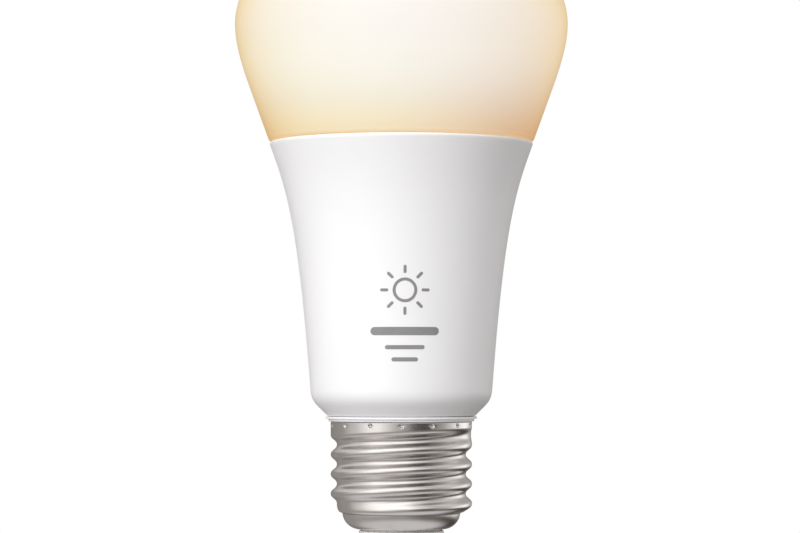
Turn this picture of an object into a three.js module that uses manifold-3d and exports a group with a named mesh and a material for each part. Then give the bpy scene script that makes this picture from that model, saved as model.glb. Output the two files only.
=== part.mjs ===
// A smart LED light bulb with an Edison screw cap, built up from its separate pieces.
// Millimetres, +Z up along the bulb's axis, origin at the flat tip of the centre contact.
import * as THREE from "three";
import { mergeVertices } from "three/addons/utils/BufferGeometryUtils.js";
import Module from "manifold-3d";

const wasm = await Module();
wasm.setup();

// ---------------------------------------------------------------- driving dimensions
const TOTAL_HEIGHT = 120;
const ROUND = 32; // segments of the large round pieces, shared so that their facets stay parallel
const SMALL_ROUND = 20;
const HOLE_ROUND = 12;
const DEG = Math.PI / 180;

// Globe: a cone that turns over its widest circle into a low dome.
const GLOBE_RADIUS = 31.02;
const GLOBE_WIDEST_Z = 100.34;
const GLOBE_WALL = 1.3;
const FLARE_ANGLE = 20 * DEG; // of the globe's cone and of the housing's mouth, from the axis
const CONE_END = { r: 28.04, z: 88 };
const CONE_HANDLE = 4.13;
const WIDEST_HANDLE_DOWN = 3.86;
const WIDEST_HANDLE_UP = 11.5;
const APEX_HANDLE = 17;

// Housing: a tall cup that flares towards its mouth.
const HOUSING_BOTTOM_Z = 27.5;
const HOUSING_TOP_Z = 78.4;
const HOUSING_MOUTH = { r: 24.5, z: 78 }; // where the flare ends and the rim's fillet starts
const HOUSING_WAIST = { r: 16.9, z: 32.4 };
const WAIST_ANGLE = 4.25 * DEG;
const WAIST_HANDLE = 31.7;
const MOUTH_HANDLE = 8.8;
const HOUSING_WALL = 1.6;
const HOUSING_OPENING_RADIUS = 12.9;
const RIM_FILLET = HOUSING_TOP_Z - HOUSING_MOUTH.z;

// Joint between globe, housing and heat spreader.
const LIP_OUTER_RADIUS = 22.6;
const LIP_WALL = 1.1;
const LIP_BOTTOM_Z = 76.15;
const LIP_CLEARANCE = 0.15;
const SEAM_GAP = 0.1;
const GLOBE_FOOT_CHAMFER = 0.3;
const SEAT_Z = 74.6;
const SEAT_INNER_RADIUS = 21.4;

// Heat spreader, thermal pad and LED board, stacked on the seat.
const SPREADER_SHEET = 0.8;
const SPREADER_GAP = 0.25;
const SPREADER_BOTTOM_Z = 34;
const PAD_THICKNESS = 0.2;
const PAD_RADIUS = 20.8;
const LED_BOARD_THICKNESS = 1.2;
const LED_BOARD_RADIUS = 21.2;
const PLATE_TOP_Z = SEAT_Z + SPREADER_SHEET;
const LED_BOARD_Z = PLATE_TOP_Z + PAD_THICKNESS;
const LED_BOARD_TOP_Z = LED_BOARD_Z + LED_BOARD_THICKNESS;
const CENTRE_SLOT = { length: 13, width: 2.4 };
const SCREW_CIRCLE_RADIUS = 10;
const SCREW_SHANK_RADIUS = 1.15;
const SCREW_HEAD_RADIUS = 2.3;
const SCREW_HEAD_HEIGHT = 1.7;
const SCREW_BOTTOM_Z = 64.6;
const WIRE_HOLE = { circle: 8.2, angle: -25 * DEG, radius: 1.3 };
const WIRE_PAD_CIRCLE = 13.4;

// LED packages: an outer and an inner ring.
const LED = { length: 3.5, width: 2.8, height: 0.8, chamfer: 0.6 };
const OUTER_LED_CIRCLE = 17;
const OUTER_LED_COUNT = 12;
const INNER_LED_CIRCLE = 10;
const INNER_LED_ANGLES = [0, 50, 130, 180, 230, 310];

// Driver sleeve: the plastic liner that holds the driver, with the flange and neck that carry the cap.
const SLEEVE_RADIUS = 12.6;
const SLEEVE_INNER_RADIUS = 11.6;
const SLEEVE_TOP_Z = SEAT_Z - 0.3;
const FLANGE_RADIUS = 14.05;
const FLANGE_LOWER_RADIUS = 13.55;
const FLANGE_TOP_Z = 27.4;
const FLANGE_STEP_Z = 26.98;
const NECK_RADIUS = 11.35;
const NECK_INNER_RADIUS = 10.3;
const NECK_BOTTOM_Z = 11.6;
const NECK_SHOULDER = { bottomZ: 24.2, topZ: 25.3 };
const BOSS_RADIUS = 2.1;
const BOSS_BOTTOM_Z = 62;
const BOSS_BORE_RADIUS = 1.3;
const LEAD_CHANNEL = { width: 0.9, depthRadius: 10.68, bottomZ: 13.6, topZ: 21 };

// Edison screw cap.
const CAP_RIM_Z = 26.5;
const CAP_SHEET = 0.35;
const THREAD_CREST_RADIUS = 13.12;
const THREAD_ROOT_RADIUS = 11.97;
const THREAD_PITCH = 3.629;
const THREAD_CREST_Z = 14.91; // height of one crest on the +X side
const THREAD_TOP_Z = 25.2;
const THREAD_BOTTOM_Z = 9.6;
const THREAD_ROWS_PER_PITCH = 6;
const THREAD_SEGMENTS = 24;
const GROOVE_START = { turn: 2.56, fade: 0.23 }; // counted in turns up from the reference crest
const CREST_END = { turn: -1.5, fade: 0.45 };
const THREAD_END_ROUND = { topZ: 11.2, height: 1.7, drop: 0.9 }; // the root curls in to the bowl below topZ
const BOWL = { r: 7.75, z: 9.75, radius: 3.2 };
const CAP_MOUTH_RADIUS = 7.6;
const CRIMP_COUNT = 14;
const CRIMP = { z: 25.8, radius: 0.48, depth: 0.22 };

// Insulator, centre contact and the rivet that pins the centre lead.
const INSULATOR_BORE_RADIUS = 1.25;
const INSULATOR_TOP_Z = 8.7;
const CONTACT_RADIUS = 4.9;
const CONTACT_TOP_Z = 1.3;
const RIVET_HEAD = { radius: 1.95, height: 0.45 };
const RIVET_SHANK = { radius: 0.95, topZ: 6.4 };

// Driver board: stands upright across the sleeve, with its parts on the +Y side and its chips behind.
const BOARD_FRONT_Y = -2.4;
const BOARD_THICKNESS = 1.2;
const BOARD_BACK_Y = BOARD_FRONT_Y - BOARD_THICKNESS;
const BOARD_OUTLINE = [
  [9.2, 12.6],
  [9.2, 28.6],
  [10.6, 30],
  [10.6, 62.4],
  [9.4, 63.6],
  [6.6, 63.6],
  [6.6, 70.4],
];
const RAIL = { bottomZ: 31, topZ: 60, innerX: 9.9, width: 0.8, clearance: 0.2 };

// ---------------------------------------------------------------- materials
const finish = (color, roughness, metalness = 0) =>
  new THREE.MeshStandardMaterial({ color, roughness, metalness });

const materials = {
  opalPlastic: finish(0xf7e6c6, 0.4),
  whitePlastic: finish(0xf3f3f5, 0.35),
  linerPlastic: finish(0xf4f3f6, 0.4),
  nickel: finish(0xc9c4bd, 0.25, 1),
  insulator: finish(0xd8d8d6, 0.35),
  contactMetal: finish(0xb9b4a8, 0.3, 1),
  silicone: finish(0xe8e8e4, 0.6),
  aluminium: finish(0xb8babd, 0.4, 1),
  thermalPad: finish(0x9fa6ad, 0.8),
  ledBoard: finish(0xf5f5f2, 0.5),
  ledPackage: finish(0xf2d25a, 0.45),
  screwSteel: finish(0xa9abad, 0.3, 1),
  fibreglass: finish(0x1f6b3c, 0.5),
  ferrite: finish(0x2d2c2e, 0.6),
  bobbinPlastic: finish(0x18181a, 0.5),
  windingTape: finish(0xe2c13a, 0.4),
  copper: finish(0xb5693a, 0.3, 1),
  capacitorSleeve: finish(0x23262f, 0.35),
  filmBox: finish(0xd9b23c, 0.45),
  resistorBody: finish(0x7fa7a8, 0.5),
  varistorCoat: finish(0x2c55a0, 0.45),
  chipEpoxy: finish(0x19191b, 0.55),
  shieldTin: finish(0xc4c6c8, 0.3, 1),
  redWire: finish(0xb3201c, 0.5),
  blackWire: finish(0x1b1b1d, 0.5),
  bareWire: finish(0xc8c3b6, 0.3, 1),
};

// ---------------------------------------------------------------- helpers
const bulb = new THREE.Group();

function addPart(name, geometry, material, position = [0, 0, 0], turn = 0) {
  const mesh = new THREE.Mesh(geometry, material);
  mesh.name = name;
  mesh.position.set(...position);
  mesh.rotation.z = turn;
  bulb.add(mesh);
  return mesh;
}

// A profile of [radius, height] points turned about Z. One that leaves the axis closes on itself.
function revolve(profile, segments = ROUND) {
  const points = profile.map(([r, z]) => new THREE.Vector2(r, z));
  const onAxis = points[0].x === 0 && points.at(-1).x === 0;
  if (THREE.ShapeUtils.area(points) < 0) points.reverse();
  if (!onAxis) points.push(points[0].clone());
  return new THREE.LatheGeometry(points, segments).rotateX(Math.PI / 2);
}

// A flat outline in XY, with holes, made `height` thick from z = 0 upwards.
function plate(outline, height, holes = []) {
  const shape = new THREE.Shape(outline);
  shape.holes.push(...holes.map((hole) => new THREE.Path(hole)));
  return new THREE.ExtrudeGeometry(shape, { depth: height, bevelEnabled: false });
}

function circlePoints(radius, segments, x = 0, y = 0) {
  const angle = (i) => (i / segments) * 2 * Math.PI;
  return Array.from({ length: segments }, (_, i) =>
    new THREE.Vector2(x + radius * Math.cos(angle(i)), y + radius * Math.sin(angle(i))),
  );
}

function rectanglePoints(length, width, x = 0, y = 0) {
  const corners = [[-1, -1], [1, -1], [1, 1], [-1, 1]];
  return corners.map(([i, j]) => new THREE.Vector2(x + (i * length) / 2, y + (j * width) / 2));
}

// A rectangle with its corners cut at 45 degrees.
function chamferedRectangle(length, width, chamfer) {
  const [a, b] = [length / 2, width / 2];
  const outline = [
    [a - chamfer, -b], [a, -b + chamfer], [a, b - chamfer], [a - chamfer, b],
    [-a + chamfer, b], [-a, b - chamfer], [-a, -b + chamfer], [-a + chamfer, -b],
  ];
  return outline.map(([x, y]) => new THREE.Vector2(x, y));
}

function box([x0, y0, z0], [x1, y1, z1]) {
  const block = new THREE.BoxGeometry(x1 - x0, y1 - y0, z1 - z0);
  return block.translate((x0 + x1) / 2, (y0 + y1) / 2, (z0 + z1) / 2);
}

function post(radius, z0, z1, x = 0, y = 0, segments = HOLE_ROUND) {
  return plate(circlePoints(radius, segments, x, y), z1 - z0).translate(0, 0, z0);
}

// A round wire through the given points.
function wire(points, radius, sides = 6, steps = 14) {
  const path = new THREE.CatmullRomCurve3(points.map((p) => new THREE.Vector3(...p)), false, "centripetal");
  const section = new THREE.Shape(circlePoints(radius, sides));
  return new THREE.ExtrudeGeometry(section, { steps, extrudePath: path, bevelEnabled: false });
}

function solidOf(geometry) {
  const bare = geometry.index ? geometry.toNonIndexed() : geometry.clone();
  bare.deleteAttribute("normal");
  bare.deleteAttribute("uv");
  const merged = mergeVertices(bare, 1e-4);
  return new wasm.Manifold(
    new wasm.Mesh({
      numProp: 3,
      vertProperties: merged.attributes.position.array,
      triVerts: merged.index.array,
    }),
  );
}

function geometryOf(solid) {
  const mesh = solid.getMesh();
  const geometry = new THREE.BufferGeometry();
  geometry.setAttribute("position", new THREE.BufferAttribute(mesh.vertProperties, 3));
  geometry.setIndex(new THREE.BufferAttribute(mesh.triVerts, 1));
  geometry.computeVertexNormals();
  return geometry;
}

// One geometry from a base with pieces joined on and then cut away.
function carve(base, { join = [], cut = [] }) {
  let solid = solidOf(base);
  for (const piece of join) solid = solid.add(solidOf(piece));
  for (const piece of cut) solid = solid.subtract(solidOf(piece));
  return geometryOf(solid);
}

// The same piece on both sides of the YZ plane.
const onBothSides = (make) => [make(1), make(-1)];

// ---------------------------------------------------------------- globe
// Outline of the globe from the foot of its cone to its apex, moved inwards by `inset`.
function globeOutline(inset) {
  const along = { r: Math.sin(FLARE_ANGLE), z: Math.cos(FLARE_ANGLE) };
  const shrink = (GLOBE_RADIUS - inset) / GLOBE_RADIUS;
  const coneEnd = { r: CONE_END.r - inset * along.z, z: CONE_END.z + inset * along.r };
  const footZ = HOUSING_TOP_Z + SEAM_GAP + GLOBE_FOOT_CHAMFER + inset * 0.35;
  const footR = coneEnd.r - (coneEnd.z - footZ) * Math.tan(FLARE_ANGLE);
  const widestR = GLOBE_RADIUS - inset;
  const apexZ = TOTAL_HEIGHT - inset;
  const lower = new THREE.CubicBezierCurve(
    new THREE.Vector2(coneEnd.r, coneEnd.z),
    new THREE.Vector2(coneEnd.r + along.r * CONE_HANDLE, coneEnd.z + along.z * CONE_HANDLE),
    new THREE.Vector2(widestR, GLOBE_WIDEST_Z - WIDEST_HANDLE_DOWN),
    new THREE.Vector2(widestR, GLOBE_WIDEST_Z),
  );
  const upper = new THREE.CubicBezierCurve(
    new THREE.Vector2(widestR, GLOBE_WIDEST_Z),
    new THREE.Vector2(widestR, GLOBE_WIDEST_Z + WIDEST_HANDLE_UP * shrink),
    new THREE.Vector2(APEX_HANDLE * shrink, apexZ),
    new THREE.Vector2(0, apexZ),
  );
  const points = [...lower.getPoints(3), ...upper.getPoints(8).slice(1)];
  return [[footR, footZ], ...points.map((p) => [p.x, p.y])];
}

function diffuserGlobe() {
  const lipInner = LIP_OUTER_RADIUS - LIP_WALL;
  const shoulderZ = HOUSING_TOP_Z + SEAM_GAP;
  const outside = globeOutline(0);
  const footR = outside[0][0];
  const inside = globeOutline(GLOBE_WALL).reverse();
  return revolve([
    ...outside.reverse(),
    [footR - GLOBE_FOOT_CHAMFER, shoulderZ],
    [LIP_OUTER_RADIUS, shoulderZ],
    [LIP_OUTER_RADIUS, LIP_BOTTOM_Z],
    [lipInner, LIP_BOTTOM_Z],
    [lipInner, shoulderZ - 0.5],
    ...inside.reverse(),
  ]);
}

function globeSeal() {
  const [inner, outer] = [LIP_OUTER_RADIUS - LIP_WALL + 0.1, LIP_OUTER_RADIUS - 0.1];
  const [bottom, top] = [PLATE_TOP_Z + 0.05, LIP_BOTTOM_Z - 0.05];
  return revolve([[inner, bottom], [outer, bottom], [outer, top], [inner, top]]);
}

// ---------------------------------------------------------------- housing
const housingFlare = new THREE.CubicBezierCurve(
  new THREE.Vector2(HOUSING_WAIST.r, HOUSING_WAIST.z),
  new THREE.Vector2(
    HOUSING_WAIST.r + WAIST_HANDLE * Math.sin(WAIST_ANGLE),
    HOUSING_WAIST.z + WAIST_HANDLE * Math.cos(WAIST_ANGLE),
  ),
  new THREE.Vector2(
    HOUSING_MOUTH.r - MOUTH_HANDLE * Math.sin(FLARE_ANGLE),
    HOUSING_MOUTH.z - MOUTH_HANDLE * Math.cos(FLARE_ANGLE),
  ),
  new THREE.Vector2(HOUSING_MOUTH.r, HOUSING_MOUTH.z),
).getPoints(80);

// Outer radius of the housing's flare at a height.
function housingRadius(z) {
  const above = housingFlare.findIndex((p) => p.y >= z);
  if (above <= 0) return above === 0 ? HOUSING_WAIST.r : HOUSING_MOUTH.r;
  const [a, b] = [housingFlare[above - 1], housingFlare[above]];
  return a.x + ((b.x - a.x) * (z - a.y)) / (b.y - a.y);
}

// Points down or up the housing's flare, moved inwards by `inset`.
function flareWall(inset, fromZ, toZ, count) {
  return Array.from({ length: count + 1 }, (_, i) => {
    const z = fromZ + ((toZ - fromZ) * i) / count;
    return [housingRadius(z) - inset, z];
  });
}

function housing() {
  const counterboreRadius = LIP_OUTER_RADIUS + LIP_CLEARANCE;
  const corner = (r, z) => new THREE.Vector2(r, z);
  const shoulder = new THREE.QuadraticBezierCurve(
    corner(15.55, 29.35),
    corner(16.78, 30.65),
    corner(HOUSING_WAIST.r, HOUSING_WAIST.z),
  );
  const rim = new THREE.QuadraticBezierCurve(
    corner(HOUSING_MOUTH.r, HOUSING_MOUTH.z),
    corner(HOUSING_MOUTH.r, HOUSING_TOP_Z),
    corner(HOUSING_MOUTH.r - RIM_FILLET, HOUSING_TOP_Z),
  );
  const outside = [
    [13.72, HOUSING_BOTTOM_Z],
    ...shoulder.getPoints(4).map((p) => [p.x, p.y]),
    ...flareWall(0, 38, HOUSING_MOUTH.z, 7),
    ...rim.getPoints(2).slice(1).map((p) => [p.x, p.y]),
  ];
  const inside = [
    [counterboreRadius, HOUSING_TOP_Z],
    [counterboreRadius, SEAT_Z],
    [SEAT_INNER_RADIUS, SEAT_Z],
    ...flareWall(HOUSING_WALL, 73, 33, 5),
    [14.1, 29.4],
    [HOUSING_OPENING_RADIUS, 29],
    [HOUSING_OPENING_RADIUS, HOUSING_BOTTOM_Z],
  ];
  return revolve([...outside, ...inside]);
}

// ---------------------------------------------------------------- heat spreader, pad and LED board
// Openings shared by the stack: a centre slot for the radio board, screw holes and wire holes.
const wireHoleX = WIRE_HOLE.circle * Math.cos(WIRE_HOLE.angle);
const wireHoleY = WIRE_HOLE.circle * Math.sin(WIRE_HOLE.angle);

function stackHoles(screwRadius) {
  return [
    rectanglePoints(CENTRE_SLOT.length, CENTRE_SLOT.width),
    circlePoints(screwRadius, HOLE_ROUND, 0, SCREW_CIRCLE_RADIUS),
    circlePoints(screwRadius, HOLE_ROUND, 0, -SCREW_CIRCLE_RADIUS),
    circlePoints(WIRE_HOLE.radius, HOLE_ROUND, wireHoleX, wireHoleY),
    circlePoints(WIRE_HOLE.radius, HOLE_ROUND, -wireHoleX, wireHoleY),
  ];
}

function heatSpreader() {
  const outerInset = HOUSING_WALL + SPREADER_GAP;
  const innerInset = outerInset + SPREADER_SHEET;
  const cup = revolve([
    [0, PLATE_TOP_Z],
    [LIP_OUTER_RADIUS - 0.05, PLATE_TOP_Z],
    [LIP_OUTER_RADIUS - 0.05, SEAT_Z],
    [SEAT_INNER_RADIUS - SPREADER_GAP, SEAT_Z],
    ...flareWall(outerInset, 73, SPREADER_BOTTOM_Z, 5),
    ...flareWall(innerInset, SPREADER_BOTTOM_Z, 73, 5),
    [SEAT_INNER_RADIUS - SPREADER_GAP - SPREADER_SHEET, SEAT_Z],
    [0, SEAT_Z],
  ]);
  const punches = stackHoles(1.5).map((outline) =>
    plate(outline, 3 * SPREADER_SHEET).translate(0, 0, SEAT_Z - SPREADER_SHEET),
  );
  return carve(cup, { cut: punches });
}

const thermalPad = () => plate(circlePoints(PAD_RADIUS, ROUND), PAD_THICKNESS, stackHoles(1.6));
const ledBoard = () => plate(circlePoints(LED_BOARD_RADIUS, ROUND), LED_BOARD_THICKNESS, stackHoles(1.5));

// One LED package, with the cut corner that marks its cathode.
function ledPackage() {
  const [a, b, c] = [LED.length / 2, LED.width / 2, LED.chamfer];
  const outline = [[-a, -b], [a, -b], [a, b - c], [a - c, b], [-a, b]];
  return plate(outline.map(([x, y]) => new THREE.Vector2(x, y)), LED.height);
}

function addLeds() {
  const outerAngles = Array.from({ length: OUTER_LED_COUNT }, (_, i) => ((i + 0.5) * 360) / OUTER_LED_COUNT);
  const places = [
    ...outerAngles.map((angle) => ({ circle: OUTER_LED_CIRCLE, angle: angle * DEG })),
    ...INNER_LED_ANGLES.map((angle) => ({ circle: INNER_LED_CIRCLE, angle: angle * DEG })),
  ];
  places.forEach(({ circle, angle }, i) => {
    const position = [circle * Math.cos(angle), circle * Math.sin(angle), LED_BOARD_TOP_Z];
    const name = `led_${String(i + 1).padStart(2, "0")}`;
    addPart(name, ledPackage(), materials.ledPackage, position, angle + Math.PI / 2);
  });
}

// Pan-head screw with a cross recess, from its tip to its head.
function clampScrew() {
  const headTop = LED_BOARD_TOP_Z + SCREW_HEAD_HEIGHT;
  const body = revolve(
    [
      [0, SCREW_BOTTOM_Z],
      [SCREW_SHANK_RADIUS * 0.6, SCREW_BOTTOM_Z],
      [SCREW_SHANK_RADIUS, SCREW_BOTTOM_Z + 0.8],
      [SCREW_SHANK_RADIUS, LED_BOARD_TOP_Z],
      [SCREW_HEAD_RADIUS, LED_BOARD_TOP_Z],
      [SCREW_HEAD_RADIUS, headTop - 0.6],
      [SCREW_HEAD_RADIUS * 0.7, headTop],
      [0, headTop],
    ],
    16,
  );
  const recess = (x, y) => box([-x, -y, headTop - 0.8], [x, y, headTop + 1]);
  return carve(body, { cut: [recess(1.3, 0.3), recess(0.3, 1.3)] });
}

// ---------------------------------------------------------------- driver sleeve
function driverSleeve() {
  const body = revolve([
    [NECK_RADIUS, NECK_BOTTOM_Z],
    [NECK_RADIUS, NECK_SHOULDER.bottomZ],
    [SLEEVE_RADIUS, NECK_SHOULDER.topZ],
    [SLEEVE_RADIUS, CAP_RIM_Z],
    [FLANGE_LOWER_RADIUS - 0.15, CAP_RIM_Z],
    [FLANGE_LOWER_RADIUS, FLANGE_STEP_Z],
    [FLANGE_RADIUS, FLANGE_STEP_Z],
    [FLANGE_RADIUS, FLANGE_TOP_Z],
    [SLEEVE_RADIUS, FLANGE_TOP_Z],
    [SLEEVE_RADIUS, SLEEVE_TOP_Z],
    [SLEEVE_INNER_RADIUS, SLEEVE_TOP_Z],
    [SLEEVE_INNER_RADIUS, 27.6],
    [NECK_INNER_RADIUS, 26.4],
    [NECK_INNER_RADIUS, NECK_BOTTOM_Z],
  ]);
  const bosses = onBothSides((side) =>
    post(BOSS_RADIUS, BOSS_BOTTOM_Z, SLEEVE_TOP_Z, 0, side * SCREW_CIRCLE_RADIUS),
  );
  const bores = onBothSides((side) =>
    post(BOSS_BORE_RADIUS, SCREW_BOTTOM_Z - 1, SLEEVE_TOP_Z + 1, 0, side * SCREW_CIRCLE_RADIUS),
  );
  const reach = SLEEVE_INNER_RADIUS + 0.4;
  const rail = (side, nearY) => {
    const [x0, x1] = side > 0 ? [RAIL.innerX, reach] : [-reach, -RAIL.innerX];
    return box([x0, nearY, RAIL.bottomZ], [x1, nearY + RAIL.width, RAIL.topZ]);
  };
  const frontRails = onBothSides((side) => rail(side, BOARD_FRONT_Y + RAIL.clearance));
  const backRails = onBothSides((side) => rail(side, BOARD_BACK_Y - RAIL.clearance - RAIL.width));
  const half = LEAD_CHANNEL.width / 2;
  const channel = box(
    [LEAD_CHANNEL.depthRadius, -half, LEAD_CHANNEL.bottomZ],
    [NECK_RADIUS + 1, half, LEAD_CHANNEL.topZ],
  );
  const leadHole = box(
    [NECK_INNER_RADIUS - 1, -half, LEAD_CHANNEL.bottomZ],
    [NECK_RADIUS + 1, half, LEAD_CHANNEL.bottomZ + 2],
  );
  return carve(body, {
    join: [...bosses, ...frontRails, ...backRails],
    cut: [...bores, channel, leadHole],
  });
}

// ---------------------------------------------------------------- screw cap
const smoothStep = (t) => {
  const s = Math.min(1, Math.max(0, t));
  return s * s * (3 - 2 * s);
};

// Height of the thread's profile, 0 to 1, at a distance from its crest: a crest arc runs into a groove arc.
function threadProfile(fromCrest) {
  const quarter = THREAD_PITCH / 4;
  const depth = THREAD_CREST_RADIUS - THREAD_ROOT_RADIUS;
  const arcRadius = (quarter * quarter + (depth * depth) / 4) / depth;
  const drop = (x) => (arcRadius - Math.sqrt(arcRadius * arcRadius - x * x)) / depth;
  return fromCrest <= quarter ? 1 - drop(fromCrest) : drop(2 * quarter - fromCrest);
}

// Radius of the rolled right-hand thread. The groove fades out under the skirt and the crest above the bowl.
function threadRadius(angle, z) {
  const turn = angle / (2 * Math.PI);
  const rise = (z - THREAD_CREST_Z) / THREAD_PITCH - turn; // in pitches above the reference crest
  const crest = Math.round(rise);
  const groove = Math.floor(rise) + 0.5;
  const grooveDepth = smoothStep((GROOVE_START.turn - (groove + turn)) / GROOVE_START.fade);
  const crestHeight = smoothStep((crest + turn - CREST_END.turn) / CREST_END.fade);
  const profile = threadProfile(Math.abs(rise - crest) * THREAD_PITCH);
  const height = (1 - (1 - profile) * grooveDepth) * crestHeight;
  const below = Math.min(1, Math.max(0, (THREAD_END_ROUND.topZ - z) / THREAD_END_ROUND.height));
  const root = THREAD_ROOT_RADIUS - THREAD_END_ROUND.drop * (1 - Math.sqrt(1 - below * below));
  return root + (THREAD_CREST_RADIUS - root) * height;
}

// A closed skin through rings of points. Each ring gives [radius, z] at an angle.
function skinOfRings(rings, segments) {
  const positions = [];
  const indices = [];
  for (const ring of rings) {
    for (let j = 0; j < segments; j++) {
      // Angles run from -180 to 180 degrees, so that the helix joins itself behind -X.
      const angle = (j / segments - 0.5) * 2 * Math.PI;
      const [r, z] = ring(angle);
      positions.push(r * Math.cos(angle), r * Math.sin(angle), z);
    }
  }
  rings.forEach((_, i) => {
    const next = (i + 1) % rings.length;
    for (let j = 0; j < segments; j++) {
      const k = (j + 1) % segments;
      const [a, b] = [i * segments + j, i * segments + k];
      const [c, d] = [next * segments + k, next * segments + j];
      indices.push(a, d, b, b, d, c);
    }
  });
  const geometry = new THREE.BufferGeometry();
  geometry.setAttribute("position", new THREE.Float32BufferAttribute(positions, 3));
  geometry.setIndex(indices);
  geometry.computeVertexNormals();
  return geometry;
}

function capShell() {
  const plain = (r, z) => () => [r, z];
  const rowStep = THREAD_PITCH / THREAD_ROWS_PER_PITCH;
  const rowCount = Math.round((THREAD_TOP_Z - THREAD_BOTTOM_Z) / rowStep);
  const threaded = (inset) =>
    Array.from({ length: rowCount + 1 }, (_, i) => {
      const z = THREAD_TOP_Z + ((THREAD_BOTTOM_Z - THREAD_TOP_Z) * i) / rowCount;
      return (angle) => [threadRadius(angle, z) - inset, z];
    });
  const bowl = (inset) =>
    [6, 30, 55, 75, 90].map((down) => {
      const radius = BOWL.radius - inset;
      return plain(BOWL.r + radius * Math.cos(down * DEG), BOWL.z - radius * Math.sin(down * DEG));
    });
  const inner = THREAD_CREST_RADIUS - CAP_SHEET;
  const lowerEdgeZ = BOWL.z - BOWL.radius;
  const rings = [
    plain(THREAD_CREST_RADIUS, CAP_RIM_Z),
    ...threaded(0),
    ...bowl(0),
    plain(CAP_MOUTH_RADIUS, lowerEdgeZ),
    plain(CAP_MOUTH_RADIUS, lowerEdgeZ + CAP_SHEET),
    ...bowl(CAP_SHEET).reverse(),
    ...threaded(CAP_SHEET).reverse(),
    plain(inner, CAP_RIM_Z),
  ];
  const crimps = Array.from({ length: CRIMP_COUNT }, (_, i) => {
    const height = 2 * CRIMP.depth;
    const cone = new THREE.ConeGeometry(2 * CRIMP.radius, height, 6).rotateZ(Math.PI / 2);
    cone.translate(THREAD_CREST_RADIUS + height / 2 - CRIMP.depth, 0, CRIMP.z);
    return cone.rotateZ((i / CRIMP_COUNT) * 2 * Math.PI - Math.PI / 2);
  });
  return carve(skinOfRings(rings, THREAD_SEGMENTS), { cut: crimps });
}

function capInsulator() {
  return revolve(
    [
      [INSULATOR_BORE_RADIUS, CONTACT_TOP_Z + 0.05],
      [5.2, CONTACT_TOP_Z + 0.05],
      [5.6, CONTACT_TOP_Z + 0.6],
      [7.9, 5.5],
      [7.9, 6.3],
      [7.35, 6.35],
      [7.35, 7.2],
      [8.3, 7.3],
      [9.7, 8.3],
      [9.7, INSULATOR_TOP_Z],
      [INSULATOR_BORE_RADIUS, INSULATOR_TOP_Z],
    ],
    24,
  );
}

function centreContact() {
  return revolve(
    [
      [RIVET_HEAD.radius + 0.3, 0],
      [3.9, 0],
      [4.7, 0.35],
      [CONTACT_RADIUS, 0.9],
      [CONTACT_RADIUS, CONTACT_TOP_Z],
      [RIVET_SHANK.radius + 0.25, CONTACT_TOP_Z],
      [RIVET_SHANK.radius + 0.25, RIVET_HEAD.height + 0.15],
      [RIVET_HEAD.radius + 0.3, RIVET_HEAD.height + 0.15],
    ],
    24,
  );
}

function contactRivet() {
  return revolve(
    [
      [0, 0],
      [RIVET_HEAD.radius, 0],
      [RIVET_HEAD.radius, RIVET_HEAD.height],
      [RIVET_SHANK.radius, RIVET_HEAD.height],
      [RIVET_SHANK.radius, RIVET_SHANK.topZ - 0.5],
      [RIVET_SHANK.radius * 0.5, RIVET_SHANK.topZ],
      [0, RIVET_SHANK.topZ],
    ],
    HOLE_ROUND,
  );
}

// ---------------------------------------------------------------- driver board and its parts
// Turns a shape drawn in XY so that it stands in XZ, and its thickness runs along -Y from `frontY`.
const standUp = (geometry, frontY) => geometry.rotateX(Math.PI / 2).translate(0, frontY, 0);

function driverBoard() {
  const right = BOARD_OUTLINE.map(([x, z]) => new THREE.Vector2(x, z));
  const left = BOARD_OUTLINE.map(([x, z]) => new THREE.Vector2(-x, z)).reverse();
  return standUp(plate([...right, ...left], BOARD_THICKNESS), BOARD_FRONT_Y);
}

// Can capacitor with its axis along Z: rolled groove near its sealed lower end, chamfered top.
function canCapacitor(radius, length) {
  return revolve(
    [
      [0, 0],
      [radius - 0.4, 0],
      [radius, 0.4],
      [radius, 1.3],
      [radius - 0.35, 1.7],
      [radius, 2.1],
      [radius, length - 0.4],
      [radius - 0.4, length],
      [0, length],
    ],
    SMALL_ROUND,
  );
}

// A part on two leads that end just short of the board's front face.
function leadedPart(body, leads) {
  const legs = leads.map((points) => wire(points, 0.3, 6, 6));
  return carve(body, { join: legs });
}

function fuseResistor() {
  const [x, y, z0, z1] = [-5.4, 0.2, 15.4, 22.6];
  const body = revolve(
    [[0, 0], [1.3, 0], [1.6, 0.5], [1.6, 1.4], [1.4, 1.9], [1.4, 5.3], [1.6, 5.8], [1.6, 6.7], [1.3, 7.2], [0, 7.2]],
    14,
  ).translate(x, y, z0);
  const nearBoard = BOARD_FRONT_Y + 0.2;
  const lower = [[x, nearBoard, z0 - 1.3], [x, y - 0.5, z0 - 1.2], [x, y, z0 - 0.6], [x, y, z0 + 0.6]];
  const upper = [[x, nearBoard, z1 + 1.3], [x, y - 0.5, z1 + 1.2], [x, y, z1 + 0.6], [x, y, z1 - 0.6]];
  return leadedPart(body, [lower, upper]);
}

function varistor() {
  const [x, y, z] = [-5.9, 2.2, 33.2];
  const body = revolve([[0, -1.7], [3.1, -1.7], [3.5, -1.2], [3.5, 1.2], [3.1, 1.7], [0, 1.7]], 18);
  body.translate(x, y, z);
  const leg = (side) => [
    [x + side * 2.2, y - 2.0, z + side * 0.7],
    [x + side * 2.4, BOARD_FRONT_Y + 1.6, z + side * 0.7],
    [x + side * 2.4, BOARD_FRONT_Y + 0.2, z + side * 0.7],
  ];
  return leadedPart(body, onBothSides(leg));
}

function filmCapacitor() {
  const block = plate(chamferedRectangle(7.2, 6.4, 0.5), 5.2);
  block.translate(-5.2, 58, 0);
  return standUp(block, BOARD_FRONT_Y + 5.6);
}

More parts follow.
